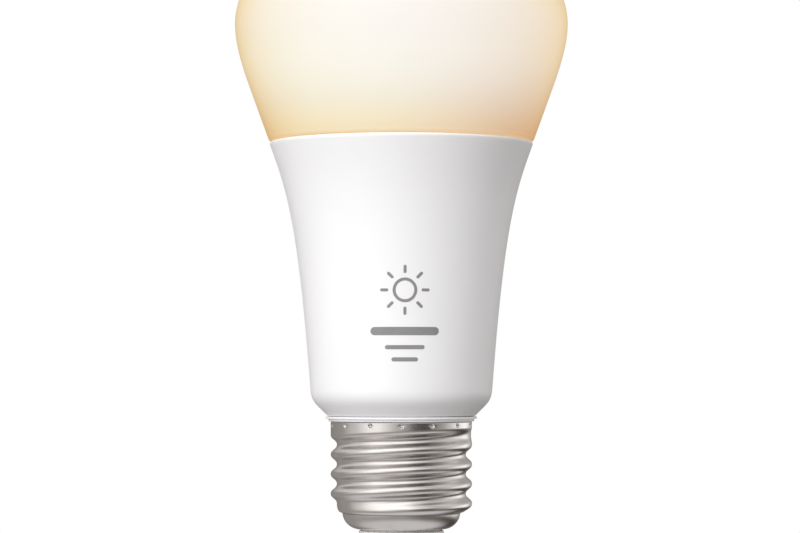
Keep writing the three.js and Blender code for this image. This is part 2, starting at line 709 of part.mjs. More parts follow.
// Drum choke standing off the board along +Y.
const chokePlace = { x: 5.6, z: 33.4, standOff: 0.3 };
const alongY = (geometry) =>
  geometry.rotateX(-Math.PI / 2).translate(chokePlace.x, BOARD_FRONT_Y + chokePlace.standOff, chokePlace.z);

function chokeCore() {
  const drum = [[0, 0], [3.5, 0], [3.5, 1.1], [1.5, 1.1], [1.5, 6.3], [3.5, 6.3], [3.5, 7.4], [0, 7.4]];
  return alongY(revolve(drum, SMALL_ROUND));
}

function chokeWinding() {
  return alongY(revolve([[1.7, 1.3], [3.1, 1.3], [3.1, 6.1], [1.7, 6.1]], SMALL_ROUND));
}

// Flyback transformer: two E-shaped ferrite halves around a bobbin with its taped winding.
const TRANSFORMER = {
  y: 3.75, z: 46, coreWidth: 13, coreDepth: 6, coreHalf: 6, back: 2, outerLeg: 2, centreLeg: 3, airGap: 0.1,
  windingWidth: 8, windingDepth: 11.2, bobbinHalf: 3.8, flange: 0.7,
};

function transformerCore(side) {
  const t = TRANSFORMER;
  const [w, c, gap] = [t.coreWidth / 2, t.centreLeg / 2, t.airGap / 2];
  const rightHalf = [
    [w, gap], [w, t.coreHalf], [-w, t.coreHalf], [-w, gap], [-w + t.outerLeg, gap],
    [-w + t.outerLeg, t.coreHalf - t.back], [-c, t.coreHalf - t.back], [-c, gap], [c, gap],
    [c, t.coreHalf - t.back], [w - t.outerLeg, t.coreHalf - t.back], [w - t.outerLeg, gap],
  ];
  const outline = rightHalf.map(([x, z]) => new THREE.Vector2(x, t.z + side * z));
  return standUp(plate(outline, t.coreDepth), t.y + t.coreDepth / 2);
}

// A straight tube of rectangular section about the transformer's axis.
function rectangularTube(length, width, holeLength, holeWidth, z0, z1, chamfer = 0) {
  const outline = chamfer ? chamferedRectangle(length, width, chamfer) : rectanglePoints(length, width);
  const ring = plate(outline, z1 - z0, [rectanglePoints(holeLength, holeWidth)]);
  return ring.translate(0, TRANSFORMER.y, z0);
}

function transformerBobbin() {
  const t = TRANSFORMER;
  const hole = [t.centreLeg + 0.4, t.coreDepth + 0.4];
  const [bottom, top] = [t.z - t.bobbinHalf, t.z + t.bobbinHalf];
  const spool = rectangularTube(hole[0] + 1.2, hole[1] + 1.2, ...hole, bottom, top);
  const flange = (z0) => rectangularTube(8.6, 11.4, ...hole, z0, z0 + t.flange);
  return carve(spool, { join: [flange(bottom), flange(top - t.flange)] });
}

function transformerWinding() {
  const t = TRANSFORMER;
  const inset = t.flange + 0.1;
  const [bottom, top] = [t.z - t.bobbinHalf + inset, t.z + t.bobbinHalf - inset];
  return rectangularTube(t.windingWidth, t.windingDepth, 4.9, 7.9, bottom, top, 1);
}

// A moulded chip against the back of the driver board.
function backChip(width, height, thickness, x, z) {
  const chip = plate(chamferedRectangle(width, height, 0.25), thickness).translate(x, z, 0);
  return standUp(chip, BOARD_BACK_Y - 0.15);
}

// Radio board: rises through the slot in the LED board so that its antenna is inside the globe.
const RADIO = { width: 12, thickness: 0.8, bottomZ: 65, topZ: 85 };

function radioBoard() {
  const half = RADIO.width / 2;
  const outline = [
    [-half, RADIO.bottomZ], [half, RADIO.bottomZ], [half, RADIO.topZ - 1], [half - 1, RADIO.topZ],
    [-half + 1, RADIO.topZ], [-half, RADIO.topZ - 1],
  ];
  const blank = plate(outline.map(([x, z]) => new THREE.Vector2(x, z)), RADIO.thickness);
  return standUp(blank, RADIO.thickness / 2);
}

function radioShield() {
  const can = plate(chamferedRectangle(9.6, 7.4, 0.5), 1.6).translate(0, 69.2, 0);
  return standUp(can, RADIO.thickness / 2 + 1.65);
}

const radioHeader = () =>
  box([-5, BOARD_FRONT_Y + 0.1, 66.4], [5, -RADIO.thickness / 2 - 0.1, 68.6]);

// ---------------------------------------------------------------- internal wires
function ledWire(side) {
  const padX = side * WIRE_PAD_CIRCLE * Math.cos(WIRE_HOLE.angle);
  const padY = WIRE_PAD_CIRCLE * Math.sin(WIRE_HOLE.angle);
  const radius = 0.5;
  const points = [
    [side * 6, BOARD_FRONT_Y + radius + 0.15, 66.4],
    [side * 6.1, BOARD_FRONT_Y + radius + 0.35, 71.1],
    [side * wireHoleX, wireHoleY, 74],
    [side * wireHoleX, wireHoleY, LED_BOARD_TOP_Z + 0.4],
    [side * (wireHoleX + 1.4), wireHoleY - 0.6, LED_BOARD_TOP_Z + 1.5],
    [padX, padY, LED_BOARD_TOP_Z + radius + 0.12],
  ];
  return wire(points, radius, 8, 18);
}

function contactLead() {
  const points = [
    [-2.6, BOARD_FRONT_Y + 0.6, 14.6],
    [-2.4, BOARD_FRONT_Y + 0.8, 12.4],
    [-0.6, -0.6, 10.2],
    [0, 0, 8.4],
    [0, 0, RIVET_SHANK.topZ + 0.3],
  ];
  return wire(points, 0.45, 6, 14);
}

function shellLead() {
  const channelX = 11.03;
  const exitZ = LEAD_CHANNEL.bottomZ + 0.6;
  const points = [
    [7.9, BOARD_FRONT_Y + 0.5, 17.4],
    [8.3, BOARD_FRONT_Y + 0.6, 15.6],
    [9.3, -0.6, 14.4],
    [10.2, 0, exitZ],
    [channelX, 0, exitZ + 1.2],
    [channelX, 0, LEAD_CHANNEL.topZ - 0.4],
  ];
  return wire(points, 0.27, 6, 16);
}

// ---------------------------------------------------------------- assembly
addPart("diffuser_globe", diffuserGlobe(), materials.opalPlastic);
addPart("globe_seal_ring", globeSeal(), materials.silicone);
addPart("housing", housing(), materials.whitePlastic);
addPart("driver_sleeve", driverSleeve(), materials.linerPlastic);
addPart("cap_shell", capShell(), materials.nickel);
addPart("cap_insulator", capInsulator(), materials.insulator);
addPart("centre_contact", centreContact(), materials.contactMetal);
addPart("contact_rivet", contactRivet(), materials.contactMetal);

addPart("heat_spreader", heatSpreader(), materials.aluminium);
addPart("thermal_pad", thermalPad(), materials.thermalPad, [0, 0, PLATE_TOP_Z]);
addPart("led_board", ledBoard(), materials.ledBoard, [0, 0, LED_BOARD_Z]);
addLeds();
addPart("clamp_screw_front", clampScrew(), materials.screwSteel, [0, -SCREW_CIRCLE_RADIUS, 0]);
addPart("clamp_screw_rear", clampScrew(), materials.screwSteel, [0, SCREW_CIRCLE_RADIUS, 0]);

addPart("driver_board", driverBoard(), materials.fibreglass);
addPart("bulk_capacitor", canCapacitor(4, 14), materials.capacitorSleeve, [3.7, 2.0, 13]);
addPart("output_capacitor", canCapacitor(4, 9), materials.capacitorSleeve, [5.1, 2.0, 54]);
addPart("film_capacitor", filmCapacitor(), materials.filmBox);
addPart("fuse_resistor", fuseResistor(), materials.resistorBody);
addPart("varistor", varistor(), materials.varistorCoat);
addPart("choke_core", chokeCore(), materials.ferrite);
addPart("choke_winding", chokeWinding(), materials.copper);
addPart("transformer_core_upper", transformerCore(1), materials.ferrite);
addPart("transformer_core_lower", transformerCore(-1), materials.ferrite);
addPart("transformer_bobbin", transformerBobbin(), materials.bobbinPlastic);
addPart("transformer_winding", transformerWinding(), materials.windingTape);
addPart("bridge_rectifier", backChip(4.8, 4, 2.3, 0, 24), materials.chipEpoxy);
addPart("controller_chip", backChip(4.9, 3.9, 1.5, 0, 38), materials.chipEpoxy);
addPart("switching_transistor", backChip(6.6, 6.1, 2.3, 0, 50), materials.chipEpoxy);

addPart("radio_board", radioBoard(), materials.fibreglass);
addPart("radio_shield", radioShield(), materials.shieldTin);
addPart("radio_header", radioHeader(), materials.bobbinPlastic);

addPart("led_wire_positive", ledWire(1), materials.redWire);
addPart("led_wire_negative", ledWire(-1), materials.blackWire);
addPart("contact_lead", contactLead(), materials.bareWire);
addPart("shell_lead", shellLead(), materials.bareWire);

export default bulb;
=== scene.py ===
"""Looks of a smart LED light bulb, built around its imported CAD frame.

+Z is up, and the printed front faces -Y. Meshes are drawn in millimetres, and piece() turns them into metres.
"""
import math

import bmesh
import bpy
from mathutils import Matrix, Vector
from mathutils.geometry import tessellate_polygon


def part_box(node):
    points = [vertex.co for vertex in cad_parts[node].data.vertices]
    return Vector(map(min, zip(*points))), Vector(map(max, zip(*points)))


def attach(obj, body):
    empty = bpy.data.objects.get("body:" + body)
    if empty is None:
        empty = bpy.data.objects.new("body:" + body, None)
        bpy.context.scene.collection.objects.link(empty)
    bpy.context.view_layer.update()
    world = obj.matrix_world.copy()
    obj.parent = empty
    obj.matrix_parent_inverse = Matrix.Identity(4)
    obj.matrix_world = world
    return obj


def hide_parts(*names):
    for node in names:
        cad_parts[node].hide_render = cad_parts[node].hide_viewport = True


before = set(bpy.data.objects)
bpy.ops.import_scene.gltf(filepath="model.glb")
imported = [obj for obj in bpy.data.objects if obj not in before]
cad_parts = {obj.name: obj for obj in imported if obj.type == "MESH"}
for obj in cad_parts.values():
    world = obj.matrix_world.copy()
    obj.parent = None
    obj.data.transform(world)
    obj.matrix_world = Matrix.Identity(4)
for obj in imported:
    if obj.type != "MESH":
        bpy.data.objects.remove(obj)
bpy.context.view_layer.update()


MM = 0.001
DEG = math.pi / 180
WELD = 0.001  # vertices closer than this are one


def node_box(node):
    """Lowest and highest corners of a CAD node, in millimetres."""
    low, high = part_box(node)
    return low / MM, high / MM


# -------- sizes in millimetres, from the frame where it has them
GLOBE_LOW, GLOBE_HIGH = node_box("diffuser_globe")
GLOBE_RADIUS = GLOBE_HIGH.x
GLOBE_WIDEST_Z = 100.34
GLOBE_WALL = 1.3
FLARE_ANGLE = 20 * DEG
CONE_END = (28.04, 88)
CONE_HANDLE = 4.13
WIDEST_HANDLE_DOWN = 3.86
WIDEST_HANDLE_UP = 11.5
APEX_HANDLE = 17
SEAM_GAP = 0.1
FOOT_RADIUS = 0.85
LIP_OUTER_RADIUS = 22.6
LIP_INNER_RADIUS = 21.5
LIP_CHAMFER = 0.15

HOUSING_LOW, HOUSING_HIGH = node_box("housing")
RIM_FILLET = 0.4
HOUSING_MOUTH = (24.5, HOUSING_HIGH.z - RIM_FILLET)
HOUSING_WAIST = (16.9, 32.4)
WAIST_ANGLE = 4.25 * DEG
WAIST_HANDLE = 31.7
MOUTH_HANDLE = 8.8
HOUSING_WALL = 1.6
SEAT_Z = 74.6
WALL_ROWS = [73 - 2.5 * i for i in range(17)]

SLEEVE_LOW, SLEEVE_HIGH = node_box("driver_sleeve")
SLEEVE_RADIUS = 12.6
SLEEVE_INNER_RADIUS = 11.6
NECK_RADIUS = 11.35
NECK_INNER_RADIUS = 10.3

CAP_RIM = node_box("cap_shell")[1].z
THREAD_CREST_RADIUS = 13.12
THREAD_ROOT_RADIUS = 11.97
THREAD_PITCH = 3.629
THREAD_FLANK_ANGLE = 50 * DEG
THREAD_CREST_Z = 14.91
THREAD_TOP_Z = 25.2
THREAD_BOTTOM_Z = 9.6
CREST_FIRST_TURN = -1.5
CREST_FADE = 0.45
GROOVE_LAST_TURN = 2.56
GROOVE_FADE = 0.23
CAP_SHEET = 0.35
BOWL_CENTRE = (7.75, 9.75)
BOWL_RADIUS = 3.2
CAP_MOUTH_RADIUS = 7.6
NECK_Z = 11.2
NECK_HEIGHT = 1.7
NECK_DEPTH = 0.9
CRIMP_COUNT = 14
CRIMP_Z = 25.8
CRIMP_RADIUS = 0.42
CRIMP_DEPTH = 0.3

BOARD_LOW, BOARD_HIGH = node_box("led_board")
SCREW_CIRCLE_RADIUS = 10
WIRE_HOLE = (7.43, -3.47)
WIRE_HOLE_RADIUS = 1.3

# -------- mesh helpers


def link(obj):
    bpy.context.scene.collection.objects.link(obj)
    return obj


def piece(name, bm, *materials, nodes=(), sharp_angle=35, flat_faces=False):
    """A piece of the bulb from a bmesh, standing for CAD nodes, in the slot of its first material."""
    bmesh.ops.recalc_face_normals(bm, faces=bm.faces)
    bmesh.ops.scale(bm, vec=(MM, MM, MM), verts=bm.verts)
    mesh = bpy.data.meshes.new(name)
    bm.to_mesh(mesh)
    bm.free()
    mesh.polygons.foreach_set("use_smooth", [True] * len(mesh.polygons))
    mesh.set_sharp_from_angle(angle=sharp_angle * DEG)
    for material in materials:
        mesh.materials.append(material)
    obj = link(bpy.data.objects.new(name, mesh))
    if flat_faces:
        obj.modifiers.new("flat_faces", "WEIGHTED_NORMAL").keep_sharp = True
    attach(obj, "root")
    if nodes:
        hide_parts(*nodes)


def bezier(p0, p1, p2, p3, count):
    """Points of a cubic Bezier curve, both ends included."""
    points = []
    for i in range(count + 1):
        t = i / count
        s = 1 - t
        weights = (s * s * s, 3 * s * s * t, 3 * s * t * t, t * t * t)
        points.append(tuple(sum(w * p[k] for w, p in zip(weights, (p0, p1, p2, p3))) for k in (0, 1)))
    return points


def arc(centre, radius, start, end, count):
    """Points of a circular arc from angle start to end, in degrees."""
    angles = [(start + (end - start) * i / count) * DEG for i in range(count + 1)]
    return [(centre[0] + radius * math.cos(a), centre[1] + radius * math.sin(a)) for a in angles]


def circle(radius, count=64, x=0.0, y=0.0):
    return arc((x, y), radius, 0, 360 * (count - 1) / count, count - 1)


def rectangle(length, width, x=0.0, y=0.0, corner=0.0, steps=4):
    """A rectangle's outline, with round corners if asked."""
    a, b = length / 2 - corner, width / 2 - corner
    if not corner:
        return [(x - a, y - b), (x + a, y - b), (x + a, y + b), (x - a, y + b)]
    outline = []
    for turn, (i, j) in enumerate([(1, 1), (-1, 1), (-1, -1), (1, -1)]):
        outline += arc((x + i * a, y + j * b), corner, 90 * turn, 90 * turn + 90, steps)
    return outline


def skin(rings, closed=False, caps=True):
    """A bmesh through rings of points of equal length, or single points. closed joins last and first."""
    bm = bmesh.new()
    rings = [[bm.verts.new(p) for p in ring] for ring in rings]
    around = max(len(ring) for ring in rings)
    pairs = list(zip(rings, rings[1:]))
    if closed:
        pairs.append((rings[-1], rings[0]))
    for a, b in pairs:
        for j in range(around):
            k = (j + 1) % around
            corners = [a[j % len(a)], a[k % len(a)], b[k % len(b)], b[j % len(b)]]
            corners = list(dict.fromkeys(corners))
            if len(corners) > 2:
                bm.faces.new(corners)
    if caps and not closed:
        for end in (rings[0], rings[-1]):
            if len(end) > 2:
                bm.faces.new(end)
    return bm


def revolve(profile, segments=128):
    """A profile of (radius, z) turned about Z. Its ends are joined unless they are on the axis."""
    angles = [2 * math.pi * j / segments for j in range(segments)]
    rings = []
    for r, z in profile:
        on_axis = r < 1e-6
        rings.append([(0, 0, z)] if on_axis else [(r * math.cos(a), r * math.sin(a), z) for a in angles])
    return skin(rings, closed=profile[0][0] > 0, caps=False)


def slab(outline, z0, z1, holes=()):
    """A flat plate with holes, from outlines of (x, y)."""
    loops = [outline, *holes]
    points = [p for loop in loops for p in loop]
    bm = bmesh.new()
    bottom = [bm.verts.new((x, y, z0)) for x, y in points]
    top = [bm.verts.new((x, y, z1)) for x, y in points]
    for corners in tessellate_polygon([[(x, y, 0) for x, y in loop] for loop in loops]):
        for side in (bottom, top):
            bm.faces.new([side[i] for i in corners])
    start = 0
    for loop in loops:
        for i in range(len(loop)):
            j = (i + 1) % len(loop)
            bm.faces.new((bottom[start + i], bottom[start + j], top[start + j], top[start + i]))
        start += len(loop)
    return bm


def block(low, high):
    (x0, y0, z0), (x1, y1, z1) = low, high
    return slab([(x0, y0), (x1, y0), (x1, y1), (x0, y1)], z0, z1)


def rounded(bm, width, segments=2):
    """bm with its sharper edges rounded over."""
    bmesh.ops.recalc_face_normals(bm, faces=bm.faces)
    bmesh.ops.dissolve_limit(bm, angle_limit=1 * DEG, verts=bm.verts, edges=bm.edges)
    edges = [e for e in bm.edges if e.is_manifold and e.calc_face_angle() > 30 * DEG]
    bmesh.ops.bevel(
        bm, geom=edges, offset=width, segments=segments, profile=0.5, affect="EDGES", clamp_overlap=True
    )
    return bm


def shape_of(node):
    """The CAD node's own shape."""
    bm = bmesh.new()
    bm.from_mesh(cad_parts[node].data)
    bmesh.ops.scale(bm, vec=(1 / MM, 1 / MM, 1 / MM), verts=bm.verts)
    bmesh.ops.remove_doubles(bm, verts=bm.verts, dist=WELD)
    return bm


def moved(bm, *steps):
    """bm after each matrix in turn."""
    for step in steps:
        bmesh.ops.transform(bm, matrix=step, verts=bm.verts)
    return bm


def at(x, y, z):
    return Matrix.Translation((x, y, z))


def turned(degrees, axis):
    return Matrix.Rotation(degrees * DEG, 4, axis)


def softened(name, node, edge, material, steps=2):
    """A piece in the CAD node's own shape, with its edges rounded over."""
    piece(name, rounded(shape_of(node), edge, steps), material, nodes=[node], flat_faces=True)


def painted(bm, index):
    """bm with all its faces in the piece's material of that index."""
    for face in bm.faces:
        face.material_index = index
    return bm


def merged(*parts):
    """All the parts in one bmesh."""
    whole = parts[0]
    for part in parts[1:]:
        mesh = bpy.data.meshes.new("part")
        part.to_mesh(mesh)
        part.free()
        whole.from_mesh(mesh)
        bpy.data.meshes.remove(mesh)
    return whole


def carved(bm, join=(), cut=()):
    """bm with closed shapes joined on and then cut away, by exact booleans."""
    scratch = []

    def as_object(shape):
        mesh = bpy.data.meshes.new("scratch")
        bmesh.ops.recalc_face_normals(shape, faces=shape.faces)
        shape.to_mesh(mesh)
        shape.free()
        scratch.append(link(bpy.data.objects.new("scratch", mesh)))
        return scratch[-1]

    base = as_object(bm)
    for operation, shapes in (("UNION", join), ("DIFFERENCE", cut)):
        for shape in shapes:
            modifier = base.modifiers.new(operation, "BOOLEAN")
            modifier.operation = operation
            modifier.solver = "EXACT"
            modifier.object = as_object(shape)
    result = bmesh.new()
    result.from_object(base, bpy.context.evaluated_depsgraph_get())
    bmesh.ops.remove_doubles(result, verts=result.verts, dist=WELD)
    for obj in scratch:
        mesh = obj.data
        bpy.data.objects.remove(obj)
        bpy.data.meshes.remove(mesh)
    return result


def smooth_path(points, per_span):
    """Points of a centripetal Catmull-Rom curve, the kind that the frame's wires follow."""
    p = [Vector(q) for q in points]
    p = [2 * p[0] - p[1], *p, 2 * p[-1] - p[-2]]
    path = []
    for a, b, c, d in zip(p, p[1:], p[2:], p[3:]):
        t1 = (b - a).length ** 0.5
        t2 = t1 + (c - b).length ** 0.5
        t3 = t2 + (d - c).length ** 0.5
        for i in range(per_span):
            t = t1 + (t2 - t1) * i / per_span
            ab = a.lerp(b, t / t1)
            bc = b.lerp(c, (t - t1) / (t2 - t1))
            cd = c.lerp(d, (t - t2) / (t3 - t2))
            abc = ab.lerp(bc, t / t2)
            bcd = bc.lerp(cd, (t - t1) / (t3 - t1))
            path.append(abc.lerp(bcd, (t - t1) / (t2 - t1)))
    path.append(p[-2])
    return path


def tube(points, radius, sides=16, per_span=8):
    """A round wire through the points."""
    path = smooth_path(points, per_span)
    rings = []
    side = None
    for i, p in enumerate(path):
        ahead = (path[min(i + 1, len(path) - 1)] - path[max(i - 1, 0)]).normalized()
        side = side or ahead.orthogonal()
        side = (side - ahead * side.dot(ahead)).normalized()
        up = ahead.cross(side)
        angles = [2 * math.pi * j / sides for j in range(sides)]
        rings.append([p + radius * (math.cos(a) * side + math.sin(a) * up) for a in angles])
    return skin(rings)


def ribbon(points, width, place, lift=0.03, sink=0.02, closed=False):
    """A thin strip along a line of (u, v). place carries (u, v, height) onto a surface."""
    points = [Vector(p) for p in points]
    count = len(points)
    widths = width if isinstance(width, list) else [width] * count
    rings = []
    for i, p in enumerate(points):
        before = points[i - 1] if closed or i else p
        after = points[(i + 1) % count] if closed or i < count - 1 else p
        out = (after - p) if after != p else (p - before)
        into = (p - before) if before != p else out
        out, into = out.normalized(), into.normalized()
        ahead = (into + out).normalized()
        across = Vector((-ahead.y, ahead.x)) * widths[i] / 2 / max(0.3, ahead.dot(out))
        left, right = p + across, p - across
        rings.append([place(*left, lift), place(*right, lift), place(*right, -sink), place(*left, -sink)])
    return skin(rings, closed=closed)


def solder_dome(radius, height, foot, tilt=0):
    """A soldered joint that stands on its foot, tilted about X, and is sunk a little way in."""
    sunk = 0.03
    cone = [(radius * (1 - 0.15 * i) ** 0.8, height * (0.15 * i) ** 0.7) for i in range(1, 7)]
    dome = revolve([(0, -sunk), (radius, -sunk), (radius, sunk), *cone, (0, height)], 20)
    return moved(dome, turned(tilt, "X"), at(*foot))


# -------- node material helpers


class Nodes:
    """A node tree, and short calls for the nodes in it."""

    def __init__(self, owner):
        owner.use_nodes = True
        self.tree = owner.node_tree

    def node(self, kind, **settings):
        node = self.tree.nodes.new(kind)
        for key, value in settings.items():
            if hasattr(node, key):
                setattr(node, key, value)
            else:
                node.inputs[key.replace("_", " ")].default_value = value
        return node

    def link(self, source, target):
        self.tree.links.new(source, target)

    def fill(self, socket, value):
        """Give the socket another node's output, or else a constant."""
        if isinstance(value, bpy.types.NodeSocket):
            self.link(value, socket)
        else:
            socket.default_value = value

    def calc(self, operation, *values):
        """A math node of constants and other nodes' outputs."""
        node = self.node("ShaderNodeMath", operation=operation)
        for socket, value in zip(node.inputs, values):
            self.fill(socket, value)
        return node.outputs["Value"]

    def mix(self, factor, first, second, blend_type="MIX"):
        """Two colours mixed. Factor and colours are constants or other nodes' outputs."""
        node = self.node("ShaderNodeMix", data_type="RGBA", blend_type=blend_type)
        for socket, value in (("Factor", factor), ("A", first), ("B", second)):
            self.fill(node.inputs[socket], value)
        return node.outputs["Result"]

    def ramp(self, source, stops, interpolation="EASE"):
        ramp = self.node("ShaderNodeValToRGB")
        ramp.color_ramp.interpolation = interpolation
        elements = ramp.color_ramp.elements
        while len(elements) < len(stops):
            elements.new(1)
        for element, (position, colour) in zip(elements, stops):
            element.position = position
            element.color = (*colour, 1)
        self.link(source, ramp.inputs["Fac"])
        return ramp.outputs["Color"]

    def span(self, source, low, high, to_low=0.0, to_high=1.0, interpolation="LINEAR"):
        """source from low..high carried to to_low..to_high, and held there."""
        node = self.node("ShaderNodeMapRange", interpolation_type=interpolation)
        for socket, value in zip(node.inputs, (source, low, high, to_low, to_high)):
            self.fill(socket, value)
        return node.outputs["Result"]

    def place(self, scale=(1, 1, 1)):
        """The object's own coordinates, which are the frame's, drawn out or packed together along an axis."""
        source = self.node("ShaderNodeTexCoord").outputs["Object"]
        if scale == (1, 1, 1):
            return source
        mapping = self.node("ShaderNodeMapping", Scale=scale)
        self.link(source, mapping.inputs["Vector"])
        return mapping.outputs["Vector"]

    def surface(self, output, factor, first, second):
        """first and second shaders, mixed by the factor, to the tree's output node."""
        mix = self.node("ShaderNodeMixShader")
        for socket, source in zip(mix.inputs, (factor, first.outputs[0], second.outputs[0])):
            self.link(source, socket)
        self.link(mix.outputs[0], self.node(output).inputs["Surface"])


class Shader(Nodes):
    """A material with one Principled shader, whose constants are sockets' names and values."""

    def __init__(self, name, slot=None, **sockets):
        self.material = bpy.data.materials.new(name)
        self.material["slot"] = slot or name
        super().__init__(self.material)
        self.principled = self.tree.nodes["Principled BSDF"]
        for socket, value in sockets.items():
            self.principled.inputs[socket.replace("_", " ")].default_value = value

    def feed(self, source, socket):
        self.link(source, self.principled.inputs[socket])

    def noise(self, size, detail=3, scale=(1, 1, 1)):
        """Noise from 0 to 1 whose blotches are about size millimetres across."""
        noise = self.node("ShaderNodeTexNoise", Scale=1 / (size * MM), Detail=detail)
        self.link(self.place(scale), noise.inputs["Vector"])
        return noise.outputs["Fac"]

    def cells(self, size):
        """Voronoi cells of about size millimetres."""
        cells = self.node("ShaderNodeTexVoronoi", Scale=1 / (size * MM))
        self.link(self.place(), cells.inputs["Vector"])
        return cells.outputs["Distance"]

    def stripes(self, size, direction):
        """Bands across an axis, one each size millimetres."""
        wave = self.node("ShaderNodeTexWave", bands_direction=direction, Scale=0.314 / (size * MM))
        self.link(self.place(), wave.inputs["Vector"])
        return wave.outputs["Fac"]

    def axis(self, name):
        split = self.node("ShaderNodeSeparateXYZ")
        self.link(self.place(), split.inputs["Vector"])
        return split.outputs[name]

    def bump(self, source, height, strength):
        bump = self.node("ShaderNodeBump", Strength=strength, Distance=height * MM)
        self.link(source, bump.inputs["Height"])
        self.feed(bump.outputs["Normal"], "Normal")


def moulded(name, dark, light, roughness, patch=25, grain=0.15, grain_height=0.006, **sockets):
    """Plastic, rubber, resin or lacquer: slightly cloudy colour, uneven gloss and a fine moulded grain."""
    s = Shader(name, **sockets)
    s.feed(s.ramp(s.noise(patch, detail=4), [(0.35, dark), (0.65, light)]), "Base Color")
    s.feed(s.span(s.noise(patch / 6), 0.3, 0.7, roughness - 0.04, roughness + 0.05), "Roughness")
    s.bump(s.noise(grain, detail=2), grain_height, 0.35)
    return s.material


def metal(name, dark, light, roughness, marks=(1, 1, 40), mark_size=1.4, stain=6, relief=0.005, **sockets):
    """Bare or plated metal: marks drawn out along the axes with the small scales, and faint staining."""
    s = Shader(name, Metallic=1.0, **sockets)
    drawn = s.noise(mark_size, detail=4, scale=marks)
    s.feed(s.ramp(s.noise(stain, detail=5), [(0.3, dark), (0.7, light)]), "Base Color")
    s.feed(s.span(drawn, 0.3, 0.7, roughness - 0.04, roughness + 0.05), "Roughness")
    s.bump(drawn, relief, 0.25)
    return s.material


def opal_plastic():
    """Opal polycarbonate with the LEDs' warm light coming through it, deeper in tint near the housing."""
    s = Shader(
        "opal_plastic", Roughness=0.5, IOR=1.4, Coat_Weight=1.0, Coat_IOR=1.05, Coat_Roughness=0.3,
        Coat_Tint=(0.95, 0.87, 0.695, 1), Emission_Strength=1.0,
    )
    height = s.span(s.axis("Z"), HOUSING_HIGH.z * MM, GLOBE_HIGH.z * MM)
    # The lowest stop, on the downward-facing round of the globe's foot, is lighter than the band above it:
    # painted light that lifts the shade under the foot.
    glow = [
        (0.0, (0.70, 0.54, 0.55)), (0.010, (0.58, 0.30, 0.28)), (0.05, (0.58, 0.325, 0.31)),
        (0.144, (0.675, 0.50, 0.58)), (0.25, (0.755, 0.65, 0.78)), (0.353, (0.81, 0.74, 0.87)),
        (0.596, (0.835, 0.80, 0.90)), (1.0, (0.85, 0.82, 0.90)),
    ]
    unlit = [
        (0.05, (0.36, 0.56, 0.48)), (0.144, (0.27, 0.47, 0.45)), (0.353, (0.17, 0.29, 0.33)),
        (0.596, (0.14, 0.20, 0.30)),
    ]
    s.feed(s.ramp(height, glow, "B_SPLINE"), "Emission Color")
    cloud = s.ramp(s.noise(17, detail=2), [(0.3, (0.975, 0.975, 0.975)), (0.7, (1, 1, 1))])
    s.feed(s.mix(1.0, s.ramp(height, unlit, "B_SPLINE"), cloud, "MULTIPLY"), "Base Color")
    s.bump(s.noise(0.11, detail=2), 0.004, 0.3)
    return s.material


OPAL = opal_plastic()
WHITE = moulded("white_plastic", (0.83, 0.83, 0.855), (0.845, 0.845, 0.87), 0.42)
LINER = moulded("liner_plastic", (0.87, 0.86, 0.89), (0.885, 0.875, 0.905), 0.4)
NICKEL = metal("nickel_plate", (0.61, 0.588, 0.58), (0.67, 0.647, 0.638), 0.22, (1, 1, 12), 0.9, 6, 0.0008)
CONTACT = metal("contact_metal", (0.55, 0.52, 0.46), (0.68, 0.65, 0.6), 0.32, mark_size=1.1, stain=2.5)
GLAZE = moulded("insulator", (0.90, 0.89, 0.87), (0.93, 0.92, 0.90), 0.28, 4, 0.5, 0.002)
INK = moulded("printed_ink", (0.235, 0.235, 0.24), (0.255, 0.255, 0.26), 0.45, 2, 0.08, slot="white_plastic")

# -------- globe


def along(start, end, count):
    """Points evenly along a straight line, without its end."""
    return [tuple(a + (b - a) * i / count for a, b in zip(start, end)) for i in range(count)]


def globe_outline(inset, foot_z):
    """(radius, z) from the foot of the globe's cone at foot_z to its apex, moved inwards by inset."""
    lean_r, lean_z = math.sin(FLARE_ANGLE), math.cos(FLARE_ANGLE)
    shrink = (GLOBE_RADIUS - inset) / GLOBE_RADIUS
    cone_end = (CONE_END[0] - inset * lean_z, CONE_END[1] + inset * lean_r)
    cone_handle = (cone_end[0] + lean_r * CONE_HANDLE, cone_end[1] + lean_z * CONE_HANDLE)
    widest_r, widest_z = GLOBE_RADIUS - inset, GLOBE_WIDEST_Z
    widest = (widest_r, widest_z)
    apex = (0.0, GLOBE_HIGH.z - inset)
    lower = bezier(cone_end, cone_handle, (widest_r, widest_z - WIDEST_HANDLE_DOWN), widest, 16)
    above, beside_apex = (widest_r, widest_z + WIDEST_HANDLE_UP * shrink), (APEX_HANDLE * shrink, apex[1])
    upper = bezier(widest, above, beside_apex, apex, 40)
    foot = (cone_end[0] - (cone_end[1] - foot_z) * math.tan(FLARE_ANGLE), foot_z)
    return along(foot, cone_end, 6) + lower[:-1] + upper


def make_globe():
    shoulder_z = HOUSING_HIGH.z + SEAM_GAP
    foot_z = shoulder_z + FOOT_RADIUS * (1 - math.sin(FLARE_ANGLE))
    outside = globe_outline(0, foot_z)
    foot_centre = (outside[0][0] - FOOT_RADIUS * math.cos(FLARE_ANGLE), shoulder_z + FOOT_RADIUS)
    round_foot = arc(foot_centre, FOOT_RADIUS, -90, -20, 8)[:-1]
    lip = [
        (LIP_INNER_RADIUS, GLOBE_LOW.z + LIP_CHAMFER),
        (LIP_INNER_RADIUS + LIP_CHAMFER, GLOBE_LOW.z),
        (LIP_OUTER_RADIUS - LIP_CHAMFER, GLOBE_LOW.z),
        (LIP_OUTER_RADIUS, GLOBE_LOW.z + LIP_CHAMFER),
        (LIP_OUTER_RADIUS, shoulder_z),
    ]
    lip_end = (LIP_INNER_RADIUS, shoulder_z - 0.5)
    inside = globe_outline(GLOBE_WALL, shoulder_z + 0.75)
    return revolve([*outside[::-1], *round_foot[::-1], *lip[::-1], lip_end, *inside], 192)


